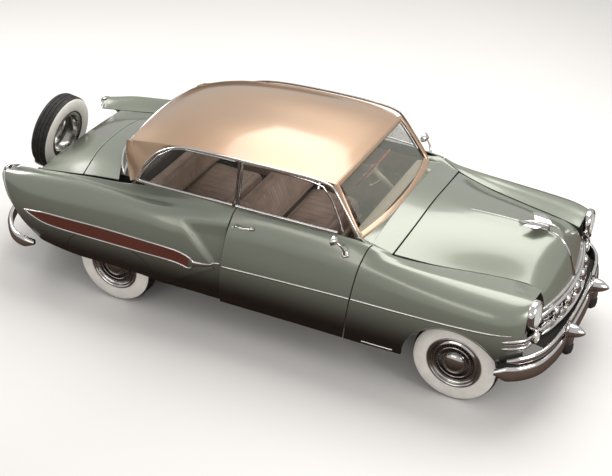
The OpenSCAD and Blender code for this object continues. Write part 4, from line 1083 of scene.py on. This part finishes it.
def hood_centre(s, lift=0.0):
    p = curve(hood_row(s), 0) + np.array([0, 0, ridge(0, s)])
    a, b = curve(hood_row(min(1, s + 0.01)), 0), curve(hood_row(s - 0.01), 0)
    n = unit(np.cross(a - b, [0, 1, 0]))
    n = n * np.sign(n[0] + n[2])
    return p + n * lift, n


pts = [hood_centre(s, -1) for s in np.linspace(0.50, 0.992, 60)]
path, ups = np.array([p for p, _ in pts]), np.array([n for _, n in pts])
make("hood_nose_moulding", sweep(path, round_profile(40, 14, 14, 2), ups,
                                 scale=np.r_[np.linspace(0.2, 0.75, 18), np.linspace(0.75, 1.25, 42)]), CHROME,
     "hood")
inlay = [hood_centre(s, 10.5) for s in np.linspace(0.76, 0.97, 40)]
make("hood_nose_inlay", sweep(np.array([p for p, _ in inlay]), round_profile(20, 4.5, 10, 2),
                              np.array([n for _, n in inlay]), scale=np.r_[np.linspace(0.2, 1, 10), np.ones(30)]),
     GREEN, "hood")
spear_pts = [hood_centre(s, -1) for s in np.linspace(0.14, 0.47, 50)]
make("hood_spear", sweep(np.array([p for p, _ in spear_pts]), round_profile(16, 12, 10, 2),
                         np.array([n for _, n in spear_pts]), scale=np.linspace(0.25, 1.0, 50)), CHROME, "hood")
bird = Shape()
spine = smooth_path([(1850, 0, 1160), (1920, 0, 1172), (1990, 0, 1184), (2060, 0, 1192), (2120, 0, 1190),
                     (2168, 0, 1176)], 50)
u = np.linspace(0, 1, 50)
sweep(spine, circle(17, 16, 13), (0, 0, 1), bird, scale=0.2 + np.sin(math.pi * u ** 1.3) ** 0.8)
for sg in (1, -1):
    g = []
    for k in np.linspace(0, 1, 14):
        lead, trail = 2110 - 85 * k ** 1.3, 1985 - 55 * k
        y, z = sg * (6 + 104 * k), 1190 + 10 * math.sin(k * 2.4)
        g.append([[mix(trail, lead, c), y, z + 3.5 * math.sin(math.pi * c) * (1 - 0.7 * k)]
                  for c in np.linspace(0, 1, 12)])
    g = np.array(g)
    thick = 9 * (1 - 0.75 * np.linspace(0, 1, 14))[:, None] * np.sin(np.linspace(0.25, math.pi - 0.25, 12))[None]
    h = g - np.stack([0 * thick, 0 * thick, thick + 0.8], 2)
    sheet_between(bird, g * MM, h * MM)
fin_g = np.array([[[1865 + 70 * c + 10 * k, 2.5 * (1 - k), 1166 + 46 * k * (1 - 0.6 * c)] for c in
                   np.linspace(0, 1, 8)] for k in np.linspace(0, 1, 8)])
sheet_between(bird, fin_g * MM, (fin_g * [1, -1, 1] - [0, 0.8, 0]) * MM)
for x in (1960, 2090):
    lathe([(15, -46), (9, -30), (7, 0)], (x, 0, 1180), (0, 0, 1), 20, bird)
make("hood_ornament", bird, CHROME, "hood")

# ---------------------------------------------------------------- bumpers
FRONT_PLAN = [(2085, 914), (2180, 892), (2268, 832), (2345, 730), (2388, 600), (2414, 420), (2427, 200), (2430, 0)]
REAR_PLAN = [(-1985, 868), (-2070, 884), (-2170, 858), (-2270, 780), (-2380, 640), (-2460, 440), (-2515, 220),
             (-2535, 0)]


def full_plan(plan, shift):
    p = [(x + shift, y) for x, y in plan]
    return smooth_path(p + [(x, -y) for x, y in p[-2::-1]], 150)


def blade(name, plan, shift, outline, mat=CHROME, trim=0, replaces=()):
    p = full_plan(plan, shift)
    if trim:
        p = p[trim:-trim]
    t = unit(np.gradient(p, axis=0))
    n = np.stack([t[:, 1], -t[:, 0]], 1)
    n *= np.sign((n * (p - [plan[0][0] - np.sign(plan[0][0]) * 900, 0])).sum(1))[:, None]
    k = len(outline)
    zc = np.mean([z for _, z in outline])
    fade = np.minimum(1, 0.35 + np.minimum(np.arange(len(p)), np.arange(len(p))[::-1]) / 9)
    rings = np.array([[[*(q + m * d), zc + (z - zc) * f] for d, z in outline] for q, m, f in zip(p, n, fade)])
    faces = grid_faces(len(p), k, 0, True) + [tuple(range(k)), tuple((len(p) - 1) * k + j for j in range(k))[::-1]]
    s = Shape().add(rings.reshape(-1, 3) * MM, faces)
    return make(name, s, mat, replaces=replaces, angle=50, slot="bright_chrome")


blade("front_bumper_blade", FRONT_PLAN, -36, [(0, 404), (8, 397), (20, 400), (31, 418), (36, 446), (37, 474),
                                               (33, 500), (25, 518), (12, 527), (0, 524)], replaces=("front_bumper",))
blade("front_bumper_rail", FRONT_PLAN, -44, [(0, 548), (14, 545), (24, 552), (28, 566), (27, 584), (20, 597),
                                             (8, 602), (0, 598)], trim=6)
blade("front_bumper_shadow", FRONT_PLAN, -50, [(0, 420), (10, 420), (14, 470), (14, 560), (10, 590), (0, 590)],
      mat=DARK, trim=3)
bullets, lobes = Shape(), Shape()
for y in (327,):
    lathe([(0, 0), (64, 0), (67, 6), (64, 14), (55, 20), (52, 40), (46, 66), (36, 92), (22, 116), (9, 131),
           (0, 135)], (2402, y, 560), (1, 0, 0), 56, bullets)
    guard = smooth_path([(2398, y, 628), (2414, y, 590), (2426, y, 540), (2432, y, 480), (2426, y, 420),
                         (2404, y, 372)], 36)
    sweep(guard, circle(34, 20, 24), (1, 0, 0), bullets,
          scale=0.5 + 0.55 * np.sin(np.linspace(0.25, math.pi - 0.25, 36)))
    lathe([(0, -78), (22, -72), (40, -52), (48, -20), (48, 14), (38, 44), (20, 60), (0, 64)], (2412, y, 420),
          (0, 0, 1), 36, lobes, (1.0, 1.0))
make("bumper_bullets", bullets.both(), CHROME)
make("bumper_guard_pads", lobes.both(), RUBBER, angle=50)

blade("rear_bumper_blade", REAR_PLAN, 36, [(0, 336), (14, 325), (28, 328), (38, 342), (42, 366), (42, 392),
                                            (36, 412), (24, 426), (10, 430), (0, 424)], replaces=("rear_bumper",))
guards = Shape()
for y in (235,):
    guard = smooth_path([(-2496, y, 470), (-2520, y, 440), (-2530, y, 390), (-2524, y, 330), (-2500, y, 300)], 30)
    sweep(guard, circle(26, 18, 16), (-1, 0, 0), guards, scale=0.5 + 0.55 * np.sin(np.linspace(0.3, 2.85, 30)))
make("rear_bumper_guards", guards.both(), CHROME)
plate = np.array([[[-2541, y, z] for z in np.linspace(322, 430, 5)] for y in np.linspace(-152, 152, 9)])
make("plate_blank", sheet_between(Shape(), plate * MM, (plate + [3, 0, 0]) * MM), CREAM, bevel=0.001)
bolts = Shape()
lathe([(0, 5.5), (5, 5), (7, 2), (7, 0)], (-2541, 89, 385), (-1, 0, 0), 20, bolts)
make("plate_bolts", bolts.both(), CHROME)

# Tail lamps following the fender's tail edge
bezel, tail_lens = Shape(), Shape()


def tail_rows(t0, t1, n, section_xy):
    rows = []
    for t in np.linspace(t0, t1, n):
        p = quarter_point(1, t)
        k = math.sin(math.pi * (t - t0) / (t1 - t0)) ** 0.35
        rows.append([[p[0] + 2 + dx * (0.25 + 0.75 * k), p[1] + dy, p[2]] for dx, dy in section_xy])
    k = len(section_xy)
    pts = np.array(rows).reshape(-1, 3) * MM
    return pts, grid_faces(n, k, 0, True) + [tuple(range(k)), tuple((n - 1) * k + j for j in range(k))[::-1]]


bezel.add(*tail_rows(1.1, 6.0, 60, [(0, 1), (-10, 2), (-22, -4), (-30, -18), (-32, -36), (-28, -54), (-16, -68),
                                     (4, -74), (20, -70), (24, -6)]))
tail_lens.add(*tail_rows(2.3, 4.5, 44, [(-20, -10), (-36, -16), (-44, -30), (-44, -42), (-34, -56), (-18, -60)]))
make("tail_lamp_bezels", bezel.both(), CHROME, replaces=["tail_lamps"], angle=50)
make("tail_lamp_lenses", tail_lens.both(), TAIL_LENS, angle=50)
cap = Shape().add(*tail_rows(1.5, 2.4, 20, [(0, 3), (-18, 3), (-34, -6), (-38, -28), (-34, -52), (-14, -66), (6, -72),
                                            (10, -4)]))
make("tail_lamp_caps", cap.both(), DARK_CHROME, angle=50, slot="bright_chrome")

# ---------------------------------------------------------------- seats
VOXEL, SWELL_FRAMES, SWELL_CAP = 0.012, 20, 0.022


def evaluated(o):
    """Mesh of o with its modifiers applied, put back on it."""
    mesh = bpy.data.meshes.new_from_object(o.evaluated_get(bpy.context.evaluated_depsgraph_get()))
    o.modifiers.clear()
    o.data = mesh
    return mesh


def points_of(mesh):
    p = np.empty(len(mesh.vertices) * 3)
    mesh.vertices.foreach_get("co", p)
    return p.reshape(-1, 3)


def swell(o):
    """Cloth under inner pressure, its travel capped."""
    before = points_of(o.data)
    cloth = o.modifiers.new("cloth", "CLOTH")
    cloth.settings.quality = 5
    cloth.settings.use_pressure = True
    cloth.settings.uniform_pressure_force = 4
    cloth.settings.effector_weights.gravity = 0
    cloth.point_cache.frame_start, cloth.point_cache.frame_end = 1, SWELL_FRAMES
    for f in range(1, SWELL_FRAMES + 1):
        scene.frame_set(f)
    mesh = evaluated(o)
    scene.frame_set(1)
    move = points_of(mesh) - before
    size = np.linalg.norm(move, axis=1, keepdims=True)
    capped = before + move * np.minimum(1, SWELL_CAP / np.maximum(size, 1e-9))
    mesh.vertices.foreach_set("co", capped.ravel())


def pad(name, size, at, lean, pitch, replaces=()):
    """Upholstered pad of size (deep, wide, thick) mm, its thick side tipped by lean, pleated every pitch."""
    bm = bmesh.new()
    bmesh.ops.create_cube(bm, size=1)
    bmesh.ops.scale(bm, vec=[v * MM for v in size], verts=bm.verts)
    bmesh.ops.bevel(bm, geom=bm.edges[:], offset=min(size) * MM * 0.34, segments=5, profile=0.5,
                    affect="EDGES")
    mesh = bpy.data.meshes.new(name)
    bm.to_mesh(mesh)
    bm.free()
    o = bpy.data.objects.new(name, mesh)
    scene.collection.objects.link(o)
    remesh = o.modifiers.new("remesh", "REMESH")
    remesh.mode, remesh.voxel_size = "VOXEL", VOXEL
    evaluated(o)
    swell(o)
    fine = o.modifiers.new("fine", "SUBSURF")
    fine.levels = fine.render_levels = 1
    mesh = evaluated(o)
    p = points_of(mesh) / MM
    # sewn channels on the seating side, a puffed rib between each two and a seam round them
    deep, wide, thick = (p.max(0) - p.min(0)) / 2
    upper = np.clip((p[:, 2] / thick - 0.25) / 0.5, 0, 1)
    across_rib = np.mod(p[:, 1] + pitch / 2, pitch) - pitch / 2
    inside = np.clip((wide - 78 - np.abs(p[:, 1])) / 8, 0, 1) * np.clip((deep - 58 - np.abs(p[:, 0])) / 14, 0, 1)
    groove = 11 * np.exp(-(across_rib / 9) ** 2) - 5 * np.cos(across_rib / pitch * math.pi) ** 2
    edge = np.minimum(wide - 70 - np.abs(p[:, 1]), deep - 50 - np.abs(p[:, 0]))
    p[:, 2] -= upper * (groove * inside + 9 * np.exp(-(edge / 9) ** 2))
    # piping seam at the pad's waist
    waist = np.exp(-((p[:, 2] - 0.42 * thick) / 7) ** 2)
    out = np.stack([p[:, 0] / deep, p[:, 1] / wide, 0 * p[:, 2]], 1)
    p -= out * (waist * 6 * (np.maximum(np.abs(out[:, 0]), np.abs(out[:, 1])) > 0.8))[:, None]
    c, s = math.cos(lean), math.sin(lean)
    turn = np.array([[c, 0, s], [0, 1, 0], [-s, 0, c]])
    p = (p @ turn.T + np.asarray(at)) * MM
    mesh.vertices.foreach_set("co", p.ravel())
    mesh.polygons.foreach_set("use_smooth", [True] * len(mesh.polygons))
    mesh.materials.clear()
    mesh.materials.append(LEATHER)
    mesh.update()
    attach(o, "body")
    if replaces:
        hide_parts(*replaces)
    return o


pad("front_seat_cushion", (484, 1136, 186), (136, 0, 574), 0.0, 76, ["front_seat"])
pad("front_seat_back", (392, 1136, 96), (-128, 0, 878), math.radians(90 - 20.6), 76)
pad("rear_seat_cushion", (526, 1076, 130), (-788, 0, 622), 0.0, 76, ["rear_seat"])
pad("rear_seat_back", (296, 1076, 96), (-1020, 0, 842), math.radians(90 - 10), 76)
bases = Shape()
for x0, x1, z0, z1, w in ((-104, 372, 432, 500, 560), (-1046, -530, 548, 580, 530)):
    loop = [(x0, z0), (x1 - 14, z0), (x1, z0 + 12), (x1 + 4, (z0 + z1) / 2), (x1, z1), (x0, z1)]
    sweep([(0, y, 0) for y in np.linspace(-w, w, 12)], [(-a, b) for a, b in loop], (0, 0, 1), bases)
make("seat_bases", bases, LEATHER, bevel=0.006)

# ---------------------------------------------------------------- trims inside
def inner(x, z, out):
    return on_side(x, z, -out)


def trim(name, xs, zs, out, body, mirror, ribs=0):
    rows = []
    for i, x in enumerate(xs):
        row = []
        for z in zs:
            p = inner(x, z, out)
            if ribs and zs[0] + 90 < z < zs[-1] - 120:
                p = p - [0, 5 * abs(math.sin(math.pi * x / 76)), 0]
            row.append(p)
        rows.append(row)
    g = np.array(rows)
    s = sheet_between(Shape(), g * MM, (g + [0, 8, 0]) * MM)
    if mirror:
        s.flipped()
    return make(name, s, LEATHER, body, angle=50)


for side in ("left", "right"):
    trim(f"door_trim_{side}", np.linspace(-130, 880, 130), np.linspace(400, 1034, 40), 58, f"door_{side}",
         side == "right", 1)
    trim(f"quarter_trim_{side}", np.linspace(-1020, -262, 100), np.linspace(470, 960, 30), 92, "body",
         side == "right", 1)
    rest = smooth_path([inner(x, 800, 72) for x in (80, 200, 330, 440)], 30)
    s = sweep(rest, circle(17, 14, 24), (0, 0, 1), scale=np.r_[np.linspace(0.4, 1, 6), np.ones(18),
                                                               np.linspace(1, 0.4, 6)])
    lathe([(0, 18), (8, 17), (12, 12), (9, 6), (9, -20)], inner(560, 800, 62), (0, -1, 0), 20, s)
    sweep([inner(560, 800, 76), inner(585, 780, 76), inner(612, 752, 76)], circle(5, 10), (0, 1, 0), s)
    if side == "right":
        s.flipped()
    make(f"door_armrest_{side}", s, CREAM, f"door_{side}", angle=50)

head_g = roof_grid - 24 * normals(roof_grid)
make("headliner", sheet_between(Shape(), head_g * MM, (head_g - 5 * normals(roof_grid)) * MM), LEATHER,
     angle=50)
shelf = np.array([[[x, y, 1024] for x in np.linspace(-1380, -1120, 8)] for y in np.linspace(-540, 540, 14)])
make("parcel_shelf_cover", sheet_between(Shape(), shelf * MM, (shelf - [0, 0, 3.5]) * MM), CARPET, angle=50)

# Dashboard with its instruments
face = smooth_path([(902, 1113), (862, 1118), (826, 1117), (808, 1106), (802, 1084), (812, 1040), (817, 1000),
                    (811, 960), (813, 915), (828, 890), (860, 884), (902, 884)], 60)
ys = np.r_[-608, -604, np.linspace(-596, 596, 60), 604, 608]
rings = np.array([[[mix(x, 870, 0.04 * (abs(y) > 600)), y, mix(z, 1000, 0.02 * (abs(y) > 600))] for x, z in face]
                  for y in ys])
k = len(face)
dash = Shape().add(rings.reshape(-1, 3) * MM, [f[::-1] for f in grid_faces(len(ys), k, 0, True)]
                   + [tuple(range(k)), tuple((len(ys) - 1) * k + j for j in range(k))[::-1]])
make("dashboard_panel", dash, CREAM, replaces=["dashboard"], angle=45)
dials, ticks, strip = Shape(), Shape(), Shape()
DIAL = (-0.97, 0, 0.22)
for y, r in ((370, 66), (228, 34), (512, 34), (-380, 34)):
    at = (813, y, 1040)
    lathe([(r - 7, -8), (r - 7, 4), (r - 3, 12), (r + 3, 13), (r + 8, 8), (r + 10, -8)], at, DIAL, 48, strip)
    lathe([(0, 1), (r - 6, 1), (r - 6, -8)], at, DIAL, 40, dials)
    f = frame_of(DIAL)
    for a in np.radians(np.arange(-40, 221, 20)):
        d = f[0] * math.cos(a) + f[1] * math.sin(a)
        p = np.asarray(at) + f[2] * 1.6
        sweep([p + d * (r - 18), p + d * (r - 10)], circle(1.4, 6), f[2], ticks)
    sweep([np.asarray(at) + f[2] * 3, np.asarray(at) + f[2] * 3 + f[1] * (r - 16)], circle(1.5, 6), f[2], ticks)
sweep([(809, y, 985) for y in np.linspace(-585, 585, 40)], round_profile(12, 8, 10, 2), (-1, 0, 0), strip)
for y in np.arange(-84, 85, 14):
    sweep([(812, y, 912), (808, y, 940), (812, y, 968)], circle(3.4, 8), (-1, 0, 0), strip)
for y, z in ((-130, 940), (130, 940), (200, 940), (260, 940), (-180, 940), (480, 940)):
    lathe([(0, 20), (9, 19), (12, 14), (10, 6), (6, 0), (6, -10)], (814, y, z), (-1, 0, 0), 24, strip)
glove = smooth_path([(806, -240, 925), (804, -400, 922), (806, -560, 925), (802, -572, 945), (808, -560, 968),
                     (806, -400, 970), (808, -240, 968), (802, -228, 945), (806, -240, 925)], 90)
sweep(glove, circle(2, 8), (-1, 0, 0), strip)
make("dashboard_brightwork", strip, CHROME, angle=45)
make("dashboard_dials", dials, DARK, angle=45)
make("dashboard_ticks", ticks, CREAM, angle=45)

# Steering wheel and column
HUB = np.array([520, 370, 1075.0])
SD = np.array([math.cos(math.radians(36)), 0, -math.sin(math.radians(36))])
SE = np.array([-SD[2], 0, SD[0]])
SY = np.array([0, 1.0, 0])


def at_wheel(r, a, h):
    return HUB + r * (math.cos(a) * SE + math.sin(a) * SY) + h * SD


rim_path = [at_wheel(204, a, 0) for a in np.linspace(0, 2 * math.pi, 121)[:-1]]
rim_up = [at_wheel(1, a, 0) - HUB for a in np.linspace(0, 2 * math.pi, 121)[:-1]]
a = np.linspace(0, 2 * math.pi, 121)[:-1]
rim = sweep(rim_path, circle(10.6, 16), rim_up, closed=True, scale=1 - 0.06 * np.abs(np.sin(a * 20)) ** 6)
make("steering_rim", rim, RED, "steering_wheel", ["steering_wheel"], angle=60)
spokes = Shape()
for a in np.radians([95, 180, 265]):
    p = smooth_path([at_wheel(30, a, 14), at_wheel(90, a, 16), at_wheel(160, a, 8), at_wheel(200, a, 0)], 24)
    sweep(p, circle(15, 14, 6), SD, spokes, scale=np.r_[np.linspace(1.25, 0.6, 24)])
lathe([(0, -26), (20, -24), (34, -16), (42, -4), (44, 10), (40, 24), (30, 34), (24, 40)], HUB, SD, 48, spokes)
make("steering_spokes", spokes, CREAM, "steering_wheel", angle=50)
horn = sweep([at_wheel(118, a, -6) for a in np.radians(np.linspace(85, 275, 60))], circle(4.5, 10),
             [at_wheel(1, a, 0) - HUB for a in np.radians(np.linspace(85, 275, 60))])
lathe([(0, -30), (12, -29), (18, -24), (20, -18)], HUB, SD, 32, horn)
make("horn_ring", horn, CHROME, "steering_wheel", angle=50)
column = lathe([(24, 40), (27, 60), (27, 150), (22, 175), (22, 700), (21.9, 712)], HUB, SD, 40)
lever = [HUB + SD * 110 + SY * -20, HUB + SD * 100 + SY * -110 + SE * 10, HUB + SD * 80 + SY * -205 + SE * 26]
sweep(smooth_path(lever, 20), circle(4.5, 10), SE, column)
lathe([(0, 14), (9, 10), (12, 0), (8, -10), (0, -13)], lever[-1], lever[-1] - lever[0], 20, column)
make("steering_column_tube", column, CREAM, replaces=["steering_column"], angle=50)

# ---------------------------------------------------------------- CAD nodes in view
DRESS = {BLACK: ("frame_rail_left", "frame_rail_right", "frame_cross", "spare_mount", "radiator",
                 "front_suspension", "rear_axle", "knuckle_left", "knuckle_right", "fuel_tank"),
         CARPET: ("floor_pan",), GREEN: ("tail_panel",), ENGINE: ("engine_block",), STEEL: ("exhaust",),
         WHEEL_CHROME: ("wheel_front_left", "wheel_front_right", "wheel_rear_left", "wheel_rear_right",
                        "spare_wheel"),
         CHROME: ("spare_carrier",)}
for mat, names in DRESS.items():
    for n in names:
        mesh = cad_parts[n].data
        mesh.materials.clear()
        mesh.materials.append(mat)


# ---------------------------------------------------------------- floor and finish
floor = bpy.data.meshes.new("floor")
floor.from_pydata([(-40, -40, 0), (40, -40, 0), (40, 40, 0), (-40, 40, 0)], [], [(0, 1, 2, 3)])
floor = bpy.data.objects.new("floor", floor)
scene.collection.objects.link(floor)
fm = Mat("floor_paper", rough=0.9, Specular_IOR_Level=0.1)
pale = fm.ramp(fm.noise(0.3, 2.0), [(0.35, (0.83, 0.82, 0.805)), (0.65, (0.86, 0.85, 0.835))])
# painted reflection: mirrors see the floor as a dark one, which gives the chrome and the sills their dark half
shade, ray = fm.node("ShaderNodeMix"), fm.node("ShaderNodeLightPath")
shade.data_type = "RGBA"
shade.inputs[7].default_value = (0.085, 0.058, 0.046, 1)
fm.link(ray.outputs["Is Glossy Ray"], shade.inputs[0])
fm.link(pale, shade.inputs[6])
fm.link(shade.outputs[2], fm.p.inputs["Base Color"])
floor.data.materials.append(fm.m)
world = bpy.data.worlds.new("world")
scene.world = world
world.use_nodes = True
wt = world.node_tree
background = wt.nodes["Background"]
lp = wt.nodes.new("ShaderNodeLightPath")
mx = wt.nodes.new("ShaderNodeMath")
mx.operation = "MAXIMUM"
mx.inputs[1].default_value = 0.55
wt.links.new(lp.outputs["Is Camera Ray"], mx.inputs[0])
wt.links.new(mx.outputs[0], background.inputs["Strength"])
background.inputs["Color"].default_value = (1, 0.985, 0.965, 1)
